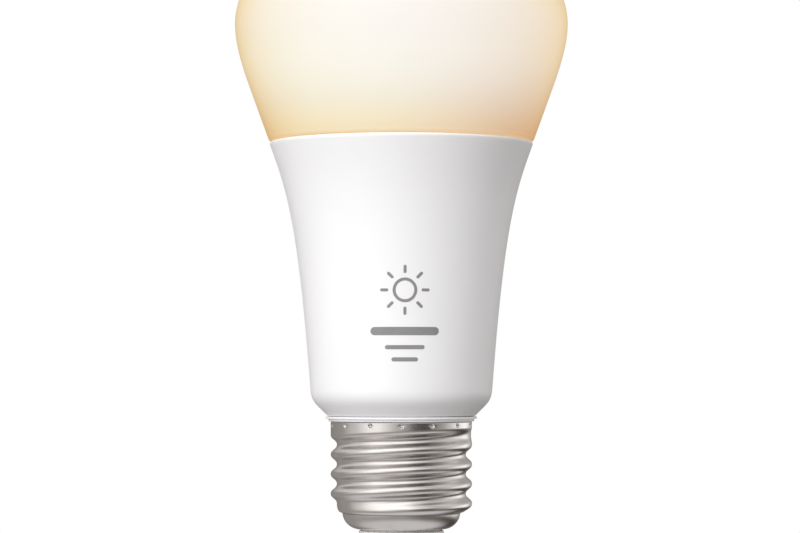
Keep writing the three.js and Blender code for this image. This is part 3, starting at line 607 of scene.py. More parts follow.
piece("opal_globe", make_globe(), OPAL, nodes=["diffuser_globe"])

# -------- housing


def housing_flare(count):
    """(radius, z) up the housing's flare, from its waist to its mouth."""
    (waist_r, waist_z), (mouth_r, mouth_z) = HOUSING_WAIST, HOUSING_MOUTH
    low = (waist_r + WAIST_HANDLE * math.sin(WAIST_ANGLE), waist_z + WAIST_HANDLE * math.cos(WAIST_ANGLE))
    high = (mouth_r - MOUTH_HANDLE * math.sin(FLARE_ANGLE), mouth_z - MOUTH_HANDLE * math.cos(FLARE_ANGLE))
    return bezier(HOUSING_WAIST, low, high, HOUSING_MOUTH, count)


FLARE = housing_flare(200)


def housing_radius(z):
    """Outer radius of the housing's flare at height z."""
    for (r0, z0), (r1, z1) in zip(FLARE, FLARE[1:]):
        if z <= z1:
            return r0 + (r1 - r0) * (z - z0) / (z1 - z0)
    return FLARE[-1][0]


def make_housing():
    top, bottom = HOUSING_HIGH.z, HOUSING_LOW.z
    mouth_r, mouth_z = HOUSING_MOUTH
    rim = arc((mouth_r - RIM_FILLET, mouth_z), RIM_FILLET, 0, 90, 8)
    shoulder = bezier((15.55, 29.35), (16.38, 30.22), (16.78, 30.95), HOUSING_WAIST, 14)
    bore = 13.0
    foot = [(bore, bottom), (bore + 0.62, bottom), (bore + 0.72, bottom + 0.04), (bore + 0.8, bottom + 0.11)]
    counterbore = LIP_OUTER_RADIUS + 0.15
    inside = [(counterbore, top), (counterbore, SEAT_Z), (21.4, SEAT_Z)]
    inside += [(housing_radius(z) - HOUSING_WALL, z) for z in WALL_ROWS]
    inside += [(14.1, 29.4), (bore, 29)]
    return revolve(foot + shoulder[:-1] + housing_flare(60)[:-1] + rim + inside, 192)


piece("housing_shell", make_housing(), WHITE, nodes=["housing"])

# -------- printed mark: a plain sun sign over plain bars
MARK_AZIMUTH = -88 * DEG
MARK_LIFT = 0.025
SUN_Z = 50.4
SUN_RADIUS = 1.95
SUN_STROKE = 0.55
RAY_REACH = 3.75


def on_housing(u, v, height):
    """A point at a distance u round the housing from the mark's centre line, at height v above the base."""
    r = housing_radius(v)
    angle = MARK_AZIMUTH + u / r
    return ((r + height) * math.cos(angle), (r + height) * math.sin(angle), v)


def printed_bar(u, v, length, width, tilt=0.0, steps=40):
    """A straight stroke with round ends, centred on (u, v)."""
    points, widths = [], []
    for i in range(steps + 1):
        s = 0.5 * length * (1 - math.cos(math.pi * i / steps))
        from_end = min(s, length - s, width / 2)
        points.append((u + (s - length / 2) * math.cos(tilt), v + (s - length / 2) * math.sin(tilt)))
        widths.append(max(0.02, 2 * math.sqrt(max(0.0, (width / 2) ** 2 - (width / 2 - from_end) ** 2))))
    return ribbon(points, widths, on_housing, lift=MARK_LIFT)


def make_mark():
    sun = ribbon(circle(SUN_RADIUS, 72, 0, SUN_Z), SUN_STROKE, on_housing, lift=MARK_LIFT, closed=True)
    rays = []
    for i in range(8):
        tilt = i * math.pi / 4
        u, v = RAY_REACH * math.cos(tilt), SUN_Z + RAY_REACH * math.sin(tilt)
        rays.append(printed_bar(u, v, 1.5, SUN_STROKE, tilt, 12))
    sizes = [(43.0, 12.6, 1.5), (40.1, 7.2, 0.75), (37.9, 4.8, 0.75)]
    bars = [printed_bar(0, v, length, width) for v, length, width in sizes]
    return merged(sun, *rays, *bars)


piece("printed_mark", make_mark(), INK)

# -------- driver sleeve


def make_sleeve():
    flange_r, step_r = SLEEVE_HIGH.x, 13.55
    step_z, flange_top = 26.98, 27.4
    body = revolve([
        (NECK_RADIUS, SLEEVE_LOW.z), (NECK_RADIUS, 24.2), (SLEEVE_RADIUS, 25.3), (SLEEVE_RADIUS, CAP_RIM),
        (step_r - 0.16, CAP_RIM), (step_r - 0.05, CAP_RIM + 0.05), (step_r, CAP_RIM + 0.16), (step_r, step_z),
        (flange_r - 0.12, step_z), (flange_r - 0.03, step_z + 0.03), (flange_r, step_z + 0.12),
        (flange_r, flange_top - 0.1), (flange_r - 0.03, flange_top - 0.03), (flange_r - 0.1, flange_top),
        (SLEEVE_RADIUS, flange_top), (SLEEVE_RADIUS, SLEEVE_HIGH.z), (SLEEVE_INNER_RADIUS, SLEEVE_HIGH.z),
        (SLEEVE_INNER_RADIUS, 27.6), (NECK_INNER_RADIUS, 26.4), (NECK_INNER_RADIUS, SLEEVE_LOW.z),
    ], 160)
    join, cut = [], []
    for side in (1, -1):
        y = side * SCREW_CIRCLE_RADIUS
        boss, pilot_hole = circle(2.1, 40, 0, y), circle(1.3, 32, 0, y)
        join.append(slab(boss, 62, SLEEVE_HIGH.z))
        cut.append(slab(pilot_hole, 63.6, SLEEVE_HIGH.z + 1))
        x0, x1 = sorted((side * 9.9, side * (SLEEVE_INNER_RADIUS + 0.4)))
        join += [block((x0, y0, 31), (x1, y0 + 0.8, 60)) for y0 in (-2.2, -4.6)]
    cut.append(block((10.68, -0.45, 13.6), (NECK_RADIUS + 1, 0.45, 21)))
    cut.append(block((NECK_INNER_RADIUS - 1, -0.45, 13.6), (NECK_RADIUS + 1, 0.45, 15.6)))
    return carved(body, join, cut)


piece("sleeve_liner", make_sleeve(), LINER, nodes=["driver_sleeve"])

# -------- screw cap


def smooth_step(t):
    s = min(1.0, max(0.0, t))
    return s * s * (3 - 2 * s)


def thread_profile(from_crest):
    """Height of the thread, 0 to 1, at a distance from its crest: crest arc, flank, groove arc."""
    quarter = THREAD_PITCH / 4
    if from_crest > quarter:
        return 1 - thread_profile(2 * quarter - from_crest)
    depth = THREAD_CREST_RADIUS - THREAD_ROOT_RADIUS
    slope = math.tan(THREAD_FLANK_ANGLE)
    radius = (quarter * slope - depth / 2) / (1 / math.cos(THREAD_FLANK_ANGLE) - 1)
    arc_end = radius * math.sin(THREAD_FLANK_ANGLE)
    on_arc = min(from_crest, arc_end)
    drop = radius - math.sqrt(radius * radius - on_arc * on_arc) + (from_crest - on_arc) * slope
    return 1 - drop / depth


def thread_radius(angle, z):
    """Radius of the rolled thread. The groove fades out under the skirt, and the crest above the bowl."""
    turn = angle / (2 * math.pi)
    rise = (z - THREAD_CREST_Z) / THREAD_PITCH - turn
    crest = round(rise)
    groove = math.floor(rise) + 0.5
    groove_depth = smooth_step((GROOVE_LAST_TURN - (groove + turn)) / GROOVE_FADE)
    crest_height = smooth_step((crest + turn - CREST_FIRST_TURN) / CREST_FADE)
    profile = thread_profile(abs(rise - crest) * THREAD_PITCH)
    height = (1 - (1 - profile) * groove_depth) * crest_height
    below = min(1.0, max(0.0, (NECK_Z - z) / NECK_HEIGHT))
    root = THREAD_ROOT_RADIUS - NECK_DEPTH * (1 - math.sqrt(1 - below * below))
    return root + (THREAD_CREST_RADIUS - root) * height


def crimp_depth(angle, z):
    """Depth of the round pits punched in a row under the cap's rim."""
    pitch = 2 * math.pi / CRIMP_COUNT
    nearest = round((angle + math.pi / 2) / pitch) * pitch - math.pi / 2
    away = math.hypot((angle - nearest) * THREAD_CREST_RADIUS, z - CRIMP_Z) / CRIMP_RADIUS
    return CRIMP_DEPTH * max(0.0, 1 - away * away) ** 0.7 if away < 1 else 0.0


def cap_angles():
    """Angles round the cap, closer together across each crimp."""
    pitch = 2 * math.pi / CRIMP_COUNT
    half = 0.5 / THREAD_CREST_RADIUS
    angles = []
    for i in range(CRIMP_COUNT):
        centre = -math.pi / 2 + i * pitch
        angles += [centre - half + 2 * half * j / 10 for j in range(10)]
        angles += [centre + half + (pitch - 2 * half) * j / 9 for j in range(9)]
    return [a - 2 * math.pi if a > math.pi else a for a in angles]


def make_cap_shell():
    angles = cap_angles()
    crest = THREAD_CREST_RADIUS

    def ring(radius_at, z):
        return [(radius_at(a, z) * math.cos(a), radius_at(a, z) * math.sin(a), z) for a in angles]

    def plain_rings(points):
        return [[(r * math.cos(a), r * math.sin(a), z) for a in angles] for r, z in points]

    row = 0.22
    skirt_rows = [26.3 - 0.1 * i for i in range(11)]
    thread_rows = [THREAD_TOP_Z - row * i for i in range(int((THREAD_TOP_Z - THREAD_BOTTOM_Z) / row) + 1)]
    bottom_z = BOWL_CENTRE[1] - BOWL_RADIUS
    bowl = [(10.86, 9.47)] + arc(BOWL_CENTRE, BOWL_RADIUS, -6, -90, 18)
    bowl += [(CAP_MOUTH_RADIUS, bottom_z), (CAP_MOUTH_RADIUS, bottom_z + CAP_SHEET)]
    bowl += arc(BOWL_CENTRE, BOWL_RADIUS - CAP_SHEET, -90, -6, 12)
    rolled_rim = [(crest - 0.3, CAP_RIM), (crest - 0.12, CAP_RIM - 0.03), (crest - 0.03, CAP_RIM - 0.1)]
    rings = plain_rings(rolled_rim)
    rings += [ring(lambda a, z: crest - crimp_depth(a, z), z) for z in skirt_rows]
    rings += [ring(thread_radius, z) for z in thread_rows]
    rings += plain_rings(bowl)
    rings += [ring(lambda a, z: thread_radius(a, z) - CAP_SHEET, z) for z in reversed(thread_rows)]
    rings += plain_rings([(crest - CAP_SHEET, CAP_RIM)])
    return skin(rings, closed=True)


piece("cap_metal", make_cap_shell(), NICKEL, nodes=["cap_shell"], sharp_angle=50)

insulator = revolve([
    (1.25, 1.35), (5.1, 1.35), (5.3, 1.42), (5.6, 1.9), (7.7, 5.25), (7.86, 5.6), (7.9, 5.9), (7.86, 6.2),
    (7.7, 6.32), (7.35, 6.38), (7.35, 7.2), (8.3, 7.3), (9.7, 8.3), (9.7, 8.7), (1.25, 8.7),
])
contact = revolve([
    (2.25, 0.1), (2.35, 0.02), (2.5, 0), (3.7, 0), (4.2, 0.08), (4.6, 0.3), (4.82, 0.6), (4.9, 0.95),
    (4.9, 1.3), (1.2, 1.3), (1.2, 0.6), (2.25, 0.6),
])
rivet = revolve([
    (0, 0), (1.75, 0), (1.88, 0.05), (1.95, 0.17), (1.95, 0.45), (0.95, 0.45), (0.95, 6.1), (0.8, 6.35),
    (0.5, 6.4), (0, 6.4),
], 64)
piece("insulator_cone", insulator, GLAZE, nodes=["cap_insulator"], sharp_angle=45)
piece("contact_cup", contact, CONTACT, nodes=["centre_contact"])
piece("rivet_head", rivet, CONTACT, nodes=["contact_rivet"])

# -------- materials of the inside


def phosphor():
    """Clear silicone packed with grains of yellow phosphor."""
    s = Shader("led_phosphor", slot="led_package", Roughness=0.3)
    s.feed(s.ramp(s.cells(0.08), [(0.1, (0.93, 0.72, 0.16)), (0.7, (0.80, 0.53, 0.06))]), "Base Color")
    s.bump(s.noise(0.5), 0.02, 0.4)
    return s.material


def laminate():
    """Green solder mask over woven glass, whose square weave shows faintly in colour and relief."""
    s = Shader("fibreglass")
    weave = s.calc("MULTIPLY", s.stripes(0.45, "X"), s.stripes(0.45, "Z"))
    s.feed(s.ramp(weave, [(0.1, (0.018, 0.14, 0.06)), (0.9, (0.035, 0.22, 0.10))]), "Base Color")
    s.feed(s.span(s.noise(3), 0.3, 0.7, 0.26, 0.4), "Roughness")
    s.bump(weave, 0.01, 0.4)
    return s.material


EVEN = (1, 1, 1)
ALUMINIUM = metal("spun_aluminium", (0.64, 0.65, 0.66), (0.76, 0.77, 0.78), 0.32, (1, 1, 30), 1.2, 6, 0.003)
SILICONE = moulded("silicone", (0.78, 0.78, 0.75), (0.85, 0.85, 0.82), 0.5, 8)
PAD = moulded("thermal_pad", (0.33, 0.35, 0.38), (0.42, 0.44, 0.47), 0.7, 2, 0.2, 0.02)
BOARD_WHITE = moulded("led_board", (0.85, 0.85, 0.82), (0.90, 0.90, 0.87), 0.34, 7, 0.3)
TINNED = metal("board_pads", (0.62, 0.62, 0.6), (0.74, 0.73, 0.7), 0.3, EVEN, 0.6, 2, slot="led_board")
LEGEND = moulded("board_legend", (0.12, 0.12, 0.12), (0.18, 0.18, 0.18), 0.5, 2, slot="led_board")
LED_SLOT = "led_package"
PACKAGE = moulded("led_body", (0.80, 0.79, 0.75), (0.87, 0.86, 0.82), 0.4, 1.5, 0.08, slot=LED_SLOT)
PHOSPHOR = phosphor()
TERMINAL = metal("led_terminal", (0.66, 0.66, 0.64), (0.78, 0.77, 0.74), 0.25, EVEN, 0.3, 1, slot=LED_SLOT)
STEEL = metal("screw_steel", (0.50, 0.51, 0.53), (0.64, 0.65, 0.67), 0.3, EVEN, 0.4, 1.5)
LAMINATE = laminate()
MARKING = moulded("driver_legend", (0.72, 0.73, 0.70), (0.80, 0.81, 0.78), 0.5, 2, slot="fibreglass")
TRACE = moulded("masked_trace", (0.05, 0.25, 0.11), (0.07, 0.31, 0.15), 0.3, 3, slot="fibreglass")
FERRITE = moulded("ferrite", (0.028, 0.027, 0.029), (0.05, 0.049, 0.051), 0.55, 1.5, 0.12, 0.03)
PHENOLIC = moulded("bobbin_plastic", (0.016, 0.016, 0.018), (0.026, 0.026, 0.028), 0.45, 3)
TAPE = moulded("winding_tape", (0.74, 0.49, 0.035), (0.86, 0.62, 0.06), 0.25, 3, 0.9, 0.03, Coat_Weight=0.6)
COPPER = metal("copper_wire", (0.60, 0.23, 0.085), (0.76, 0.33, 0.13), 0.25, EVEN, 0.8, 2, Coat_Weight=0.5)
CAN_SLEEVE = moulded("capacitor_sleeve", (0.018, 0.022, 0.038), (0.028, 0.034, 0.055), 0.28, 3, 0.5)
CAN_SLOT = "capacitor_sleeve"
CAN_PRINT = moulded("capacitor_print", (0.60, 0.60, 0.57), (0.68, 0.68, 0.65), 0.4, 2, slot=CAN_SLOT)
CAN_METAL = metal("capacitor_can", (0.66, 0.67, 0.68), (0.77, 0.78, 0.79), 0.3, EVEN, 0.5, 2, slot=CAN_SLOT)
FILM = moulded("film_box", (0.65, 0.43, 0.055), (0.74, 0.52, 0.09), 0.4, 3, 0.2, 0.01)
LACQUER = moulded("resistor_body", (0.19, 0.36, 0.36), (0.28, 0.46, 0.45), 0.32, 1.5, 0.4, 0.012)
BAND = moulded("resistor_bands", (0.14, 0.045, 0.02), (0.2, 0.07, 0.03), 0.35, 1, slot="resistor_body")
DIPPED = moulded("varistor_coat", (0.02, 0.07, 0.30), (0.04, 0.11, 0.42), 0.3, 2, 0.5, 0.03)
EPOXY = moulded("chip_epoxy", (0.011, 0.011, 0.012), (0.019, 0.019, 0.02), 0.55, 1, 0.07, 0.008)
SHIELD = metal("shield_tin", (0.66, 0.66, 0.67), (0.78, 0.78, 0.79), 0.26, EVEN, 1.0, 3)
RED = moulded("red_insulation", (0.42, 0.014, 0.01), (0.55, 0.022, 0.016), 0.38, 3)
BLACK = moulded("black_insulation", (0.012, 0.012, 0.013), (0.022, 0.022, 0.024), 0.38, 3)
BARE = metal("bare_wire", (0.66, 0.64, 0.60), (0.78, 0.75, 0.70), 0.28, EVEN, 0.6, 2)
SOLDER = metal("solder", (0.58, 0.58, 0.58), (0.72, 0.72, 0.71), 0.3, EVEN, 0.4, 1, slot="bare_wire")

# -------- heat spreader, pad, seal and LED board
PLATE_TOP = SEAT_Z + 0.8
BOARD_TOP = BOARD_HIGH.z
WIRE_PAD = (12.145, -5.663)
SCREW_PLACES = [(0, SCREW_CIRCLE_RADIUS), (0, -SCREW_CIRCLE_RADIUS)]
SCREW_HOLE_RADIUS = 1.5
OUTER_LED_CIRCLE = 17
INNER_LED_CIRCLE = 10
OUTER_LED_ANGLES = [15 + 30 * i for i in range(12)]
INNER_LED_ANGLES = [0, 50, 130, 180, 230, 310]


def stack_holes(screw_radius=SCREW_HOLE_RADIUS):
    """Outlines of the openings through the stack: the radio board's slot, two screws and two wires."""
    holes = [rectangle(13, 2.4, corner=0.3)]
    holes += [circle(screw_radius, 40, x, y) for x, y in SCREW_PLACES]
    holes += [circle(WIRE_HOLE_RADIUS, 40, x, WIRE_HOLE[1]) for x in (WIRE_HOLE[0], -WIRE_HOLE[0])]
    return holes


def punched(bm, z0, z1):
    """bm with the openings cut through it. The slight turn keeps its seams off their corners."""
    return carved(moved(bm, turned(0.7, "Z")), cut=[slab(hole, z0, z1) for hole in stack_holes()])


def make_spreader():
    gap, sheet, edge_r, bottom_z = 0.25, 0.8, LIP_OUTER_RADIUS - 0.05, 34
    outside = [(housing_radius(z) - HOUSING_WALL - gap, z) for z in [*WALL_ROWS[:-1], bottom_z + 0.1]]
    inside = [(r - sheet, z) for r, z in reversed(outside)]
    foot_r = outside[-1][0]
    cup = revolve([
        (0, PLATE_TOP), (edge_r - 0.25, PLATE_TOP), (edge_r - 0.07, PLATE_TOP - 0.07),
        (edge_r, PLATE_TOP - 0.25), (edge_r, SEAT_Z + 0.1), (edge_r - 0.1, SEAT_Z), (21.15, SEAT_Z),
        *outside, (foot_r - 0.15, bottom_z), (foot_r - sheet + 0.15, bottom_z), *inside,
        (20.3, SEAT_Z - 0.4), (19.9, SEAT_Z), (0, SEAT_Z),
    ], 160)
    return punched(cup, SEAT_Z - 1, PLATE_TOP + 1)


def make_led_board():
    low, high, edge_r, chamfer = BOARD_LOW.z, BOARD_TOP, BOARD_HIGH.x, 0.08
    disc = revolve([
        (0, low), (edge_r - chamfer, low), (edge_r, low + chamfer), (edge_r, high - chamfer),
        (edge_r - chamfer, high), (0, high),
    ], 160)
    return punched(disc, low - 1, high + 1)


def on_board(u, v, height):
    return (u, v, BOARD_TOP + height)


def make_board_traces():
    """Broad copper tracks under the white mask, from each LED to the next, and out to the wire pads.

    The inner ring has none across the screws.
    """
    tracks = []
    for radius, angles in ((OUTER_LED_CIRCLE, OUTER_LED_ANGLES), (INNER_LED_CIRCLE, INNER_LED_ANGLES)):
        clear = 1.95 / radius / DEG
        for here, there in zip(angles, angles[1:] + [angles[0] + 360]):
            meets_screw = radius == SCREW_CIRCLE_RADIUS and (here + there) / 2 % 180 == 90
            if not meets_screw:
                tracks.append(ribbon(arc((0, 0), radius, here + clear, there - clear, 10), 2.0, on_board))
    for side in (1, -1):
        start = Vector((side * WIRE_PAD[0], WIRE_PAD[1]))
        outer = Vector((side * 14.9, -7.6))
        tracks.append(ribbon([start, start.lerp(outer, 0.5), outer], 1.4, on_board))
    return merged(*tracks)


def make_board_pads():
    """Bare tinned copper: a ring round each screw, a pad for each wire, and three targets at the edge."""
    z0, z1 = BOARD_TOP - 0.02, BOARD_TOP + 0.035
    holes = [(circle(2.9, 48, x, y), circle(SCREW_HOLE_RADIUS, 40, x, y)) for x, y in SCREW_PLACES]
    rings = [slab(edge, z0, z1, [hole]) for edge, hole in holes]
    pads = [slab(rectangle(3.4, 2.4, x, WIRE_PAD[1], 0.5), z0, z1) for x in (WIRE_PAD[0], -WIRE_PAD[0])]
    targets = [slab(circle(0.5, 24, 19.9 * math.cos(a), 19.9 * math.sin(a)), z0, z1) for a in (0.5, 2.4, 4.4)]
    return merged(*rings, *pads, *targets)


def make_board_legend():
    """A plus and a minus beside the wire pads, and a thin ring inside the board's edge."""
    x, y, half = 12.3, -8.6, 0.8
    marks = [ribbon([(side * x - half, y), (side * x + half, y)], 0.3, on_board) for side in (-1, 1)]
    marks.append(ribbon([(x, y - half), (x, y + half)], 0.3, on_board, lift=0.034))
    marks.append(ribbon(circle(20.6, 120), 0.15, on_board, closed=True))
    return merged(*marks)


piece("spreader_cup", make_spreader(), ALUMINIUM, nodes=["heat_spreader"])
pad = slab(circle(20.8, 160), PLATE_TOP, BOARD_LOW.z, stack_holes(1.6))
piece("pad_sheet", pad, PAD, nodes=["thermal_pad"])
seal_low, seal_high = node_box("globe_seal_ring")
seal_section = rectangle(0.9, seal_high.z - seal_low.z, 22.05, (seal_low.z + seal_high.z) / 2, 0.2)
piece("seal_cord", revolve(seal_section, 160), SILICONE, nodes=["globe_seal_ring"])
piece("led_board_disc", make_led_board(), BOARD_WHITE, nodes=["led_board"])
piece("led_board_tracks", make_board_traces(), BOARD_WHITE)
piece("led_board_pads", make_board_pads(), TINNED)
piece("led_board_legend", make_board_legend(), LEGEND)

# -------- LED packages and clamp screws


def led_outline(inset, z):
    """A package's outline at height z, with the cut corner that marks the cathode."""
    a, b, cut = 1.75 - inset, 1.4 - inset, 0.6
    outline = rectangle(2 * a, 2 * b, corner=0.12)
    outline[:5] = [(a - cut * i / 4, b - cut + cut * i / 4) for i in range(5)]
    return [(x, y, z) for x, y in outline]


def window_outline(length, width, z):
    return [(x, y, z) for x, y in rectangle(length, width, corner=0.45)]


def make_led():
    """White body with a recessed window, its phosphor fill, and a terminal under each end."""
    body = skin([
        led_outline(0.06, 0.09), led_outline(0, 0.15), led_outline(0, 0.72), led_outline(0.08, 0.8),
        window_outline(2.72, 2.1, 0.8), window_outline(2.5, 1.9, 0.6),
    ])
    fill = skin([
        window_outline(2.5, 1.9, 0.58), window_outline(2.54, 1.94, 0.68), window_outline(2.1, 1.5, 0.72),
        window_outline(1.2, 0.95, 0.735),
    ])
    ends = [slab(rectangle(0.55, 2.2, x, 0, 0.08), 0, 0.12) for x in (1.47, -1.47)]
    return merged(body, painted(fill, 1), painted(merged(*ends), 2))


led_places = [(OUTER_LED_CIRCLE, angle) for angle in OUTER_LED_ANGLES]
led_places += [(INNER_LED_CIRCLE, angle) for angle in INNER_LED_ANGLES]
for number, (radius, angle) in enumerate(led_places, 1):
    place = at(radius * math.cos(angle * DEG), radius * math.sin(angle * DEG), BOARD_TOP)
    led = moved(make_led(), turned(angle + 90, "Z"), place)
    piece(f"led_package_{number:02d}", led, PACKAGE, PHOSPHOR, TERMINAL, nodes=[f"led_{number:02d}"])


def make_screw():
    """Pan-head screw: a pointed shank with a rolled thread, and a domed head with a cross recess."""
    angles = [2 * math.pi * j / 24 for j in range(24)]
    tip_z, thread_end, pitch, depth, shank_r = 64.6, 75.7, 0.8, 0.2, 1.15
    under, top, head_r = 76.8, 78.5, 2.3
    dome = [(head_r, 0.75), (2.22, 0.48), (1.95, 0.23), (1.4, 0.06), (0.7, 0)]

    def threaded(z):
        full = shank_r * min(1.0, 0.6 + 0.4 * (z - tip_z) / 0.8)
        fade = min(1.0, (thread_end - z) / pitch)
        groove = [depth * fade * (0.5 - 0.5 * math.cos(a - 2 * math.pi * z / pitch)) for a in angles]
        return [((full - g) * math.cos(a), (full - g) * math.sin(a), z) for a, g in zip(angles, groove)]

    head = [(shank_r, under), (head_r - 0.1, under), (head_r, under + 0.1)]
    head += [(r, top - drop) for r, drop in dome]
    rings = [[(0, 0, tip_z)]]
    rings += [threaded(tip_z + 0.03 + 0.1 * i) for i in range(110)]
    rings += [[(r * math.cos(a), r * math.sin(a), z) for a in angles] for r, z in head]
    rings.append([(0, 0, top)])
    recess = [block((-a, -b, top - 0.8), (a, b, top + 0.5)) for a, b in ((1.3, 0.3), (0.3, 1.3))]
    return carved(skin(rings), cut=recess)


for end, (x, y) in zip(("front", "rear"), reversed(SCREW_PLACES)):
    piece(f"screw_{end}", moved(make_screw(), at(x, y, 0)), STEEL, nodes=[f"clamp_screw_{end}"])

# -------- driver board
DRIVER_LOW, DRIVER_HIGH = node_box("driver_board")
FRONT_Y = DRIVER_HIGH.y
BACK_Y = DRIVER_LOW.y
HALF_BOARD = [(9.2, 12.6), (9.2, 28.6), (10.6, 30), (10.6, 62.4), (9.4, 63.6), (6.6, 63.6), (6.6, 70.4)]


def on_back(u, v, height):
    return (-u, BACK_Y - height, v)


def on_front(u, v, height):
    return (u, FRONT_Y + height, v)


def make_driver_board():
    outline = HALF_BOARD + [(-x, z) for x, z in reversed(HALF_BOARD)]
    flat = slab(outline, 0, FRONT_Y - BACK_Y)
    return rounded(moved(flat, turned(90, "X"), at(0, FRONT_Y, 0)), 0.06, 1)


def make_joints(places):
    """Solder cones on the driver board's back, each with the trimmed end of its lead."""
    joints = []
    for x, z in places:
        joints.append(solder_dome(0.75, 0.7, (x, BACK_Y, z), 90))
        joints.append(tube([(x, BACK_Y - out, z) for out in (-0.3, 0.5, 1.0)], 0.26, 10, 1))
    return merged(*joints)


bulk_low, bulk_high = node_box("bulk_capacitor")
output_low, output_high = node_box("output_capacitor")
bulk_x, bulk_y = ((bulk_low + bulk_high) / 2).xy
output_x, output_y = ((output_low + output_high) / 2).xy
BULK_LEADS = [(bulk_x + side * 1.25, bulk_high.z + 0.9) for side in (1, -1)]
OUTPUT_LEADS = [(output_x + side * 1.25, output_low.z - 0.9) for side in (1, -1)]
FILM_LEADS = [(-7.7, 58), (-2.7, 58)]
RESISTOR_LEADS = [(-5.4, 14.1), (-5.4, 23.9)]
VARISTOR_LEADS = [(-8.3, 32.5), (-3.5, 33.9)]
CHOKE_LEADS = [(4.4, 36.6), (7.6, 36.6)]
BOBBIN_PINS = [(x, z) for z in (42.6, 49.4) for x in (-3, -1, 1, 3)]
SOLDERED = [
    *BULK_LEADS, *OUTPUT_LEADS, *FILM_LEADS, *RESISTOR_LEADS, *VARISTOR_LEADS, *CHOKE_LEADS, *BOBBIN_PINS,
]


def make_driver_traces():
    """Masked tracks on the back, from each part's soldered leads to the next's, and to the header."""
    routes = [
        [(-5.4, 14.1), (-8.2, 14.1), (-8.2, 21), (-5.4, 23.9)],
        [(-5.4, 23.9), (-5.4, 28.4), (-8.3, 31.3), (-8.3, 32.5)],
        [(-3.5, 33.9), (-3.5, 35.5), (-6, 38), (-6, 41), (-4.4, 42.6), (-3, 42.6)],
        [(bulk_x + 1.25, 27.9), (7.6, 30.5), (7.6, 36.6)],
        [(4.4, 36.6), (5.2, 37.4), (5.2, 41), (3.6, 42.6), (3, 42.6)],
        [(-3, 49.4), (-7.2, 49.4), (-7.7, 50), (-7.7, 58)],
        [(3, 49.4), (output_x - 1.25, 53.1)],
        [(output_x + 1.25, 53.1), (8.6, 55.3), (8.6, 60), (6, 62.6), (6, 67)],
        [(-2.7, 58), (-2.7, 61), (-6, 64.3), (-6, 67)],
    ]
    return merged(*[ribbon([(-x, z) for x, z in route], 0.9, on_back) for route in routes])


def make_driver_legend():
    """Printed outlines round the parts' footprints, with no lettering."""
    lines = [ribbon(circle(4.2, 48, bulk_x, 20), 0.15, on_front, closed=True)]
    boxes = [(-5.4, 19, 4.2, 8.4), (output_x, 58.5, 8.4, 9.4), (-5.2, 58, 7.6, 6.8), (0, 46, 9.4, 8.4)]
    lines += [ribbon(rectangle(w, h, x, z), 0.15, on_front, closed=True) for x, z, w, h in boxes]
    return merged(*lines)


piece("driver_laminate", make_driver_board(), LAMINATE, nodes=["driver_board"], flat_faces=True)
piece("driver_tracks", make_driver_traces(), TRACE)
piece("driver_legend", make_driver_legend(), MARKING)
piece("driver_solder", make_joints(SOLDERED), SOLDER)

# -------- parts on the driver board


def to_board(x, z, points):
    """A bare lead through the points and then into the driver board at (x, z)."""
    return tube([*points, (x, FRONT_Y + 0.6, z), (x, FRONT_Y - 0.2, z)], 0.28, 10, 4)


PRINTED_BARS = [(-4.4, 0.9), (-2.2, 0.5), (0, 0.9)]  # on a can: place round it, and width


def make_can(length):
    """Aluminium can in a shrunk sleeve: rolled groove near the seal, and a scored vent at the other end."""
    radius, groove_z = 4, 1.75
    groove = [(radius, 0.55), (3.9, 0.35), (3.72, 0.13)]
    sleeve = revolve([
        (3.1, 0.02), (3.55, 0), (3.85, 0.12), (radius, 0.45), *[(r, groove_z - away) for r, away in groove],
        (3.68, groove_z), *[(r, groove_z + away) for r, away in reversed(groove)], (radius, length - 0.4),
        (3.9, length - 0.12), (3.6, length), (3.3, length), (3.3, length - 0.12), (3.1, length - 0.12),
        (3.1, 0.3),
    ], 64)
    seal = revolve([(0, 0.25), (3.3, 0.25), (3.3, 0.7), (0, 0.7)], 48)
    lid_outline = [(0, length - 0.5), (3.35, length - 0.5), (3.35, length - 0.1), (0, length - 0.06)]
    scores = [slab(rectangle(*size), length - 0.12, length + 1) for size in ((4.6, 0.25), (0.25, 4.6))]
    lid = carved(revolve(lid_outline, 48), cut=scores)

    def on_can(u, v, height):
        r, angle = radius + height, u / 12 + 1.2
        return (r * math.cos(angle), r * math.sin(angle), v)

    bars = [ribbon([(u, 2.8), (u, length - 1)], width, on_can, lift=0.02) for u, width in PRINTED_BARS]
    return merged(sleeve, seal, painted(lid, 1), painted(merged(*bars), 2))


bulk_length = bulk_high.z - bulk_low.z
upside_down = [turned(180, "X"), at(0, 0, bulk_length)]
bulk = moved(make_can(bulk_length), *upside_down, at(bulk_x, bulk_y, bulk_low.z))
piece("bulk_can", bulk, CAN_SLEEVE, CAN_METAL, CAN_PRINT, nodes=["bulk_capacitor"])
output = moved(make_can(output_high.z - output_low.z), at(output_x, output_y, output_low.z))
piece("output_can", output, CAN_SLEEVE, CAN_METAL, CAN_PRINT, nodes=["output_capacitor"])


def make_resistor():
    """Lacquered body with swollen ends and three colour bands."""
    length, waist_r = 7.2, 1.4
    end = [(0, 0), (0.9, 0.02), (1.35, 0.15), (1.57, 0.45), (1.6, 0.9), (1.56, 1.35), (1.43, 1.8)]
    end.append((waist_r, 2.2))
    outline = end + [(r, length - z) for r, z in reversed(end)]
    bands = []
    for z in (2.5, 3.4, 4.3):
        inner, outer = waist_r - 0.1, waist_r + 0.025
        bands.append(revolve([(inner, z), (outer, z), (outer, z + 0.55), (inner, z + 0.55)], 40))
    body = revolve(outline, 40)
    return moved(merged(body, painted(merged(*bands), 1)), at(-5.4, 0.2, 15.4))


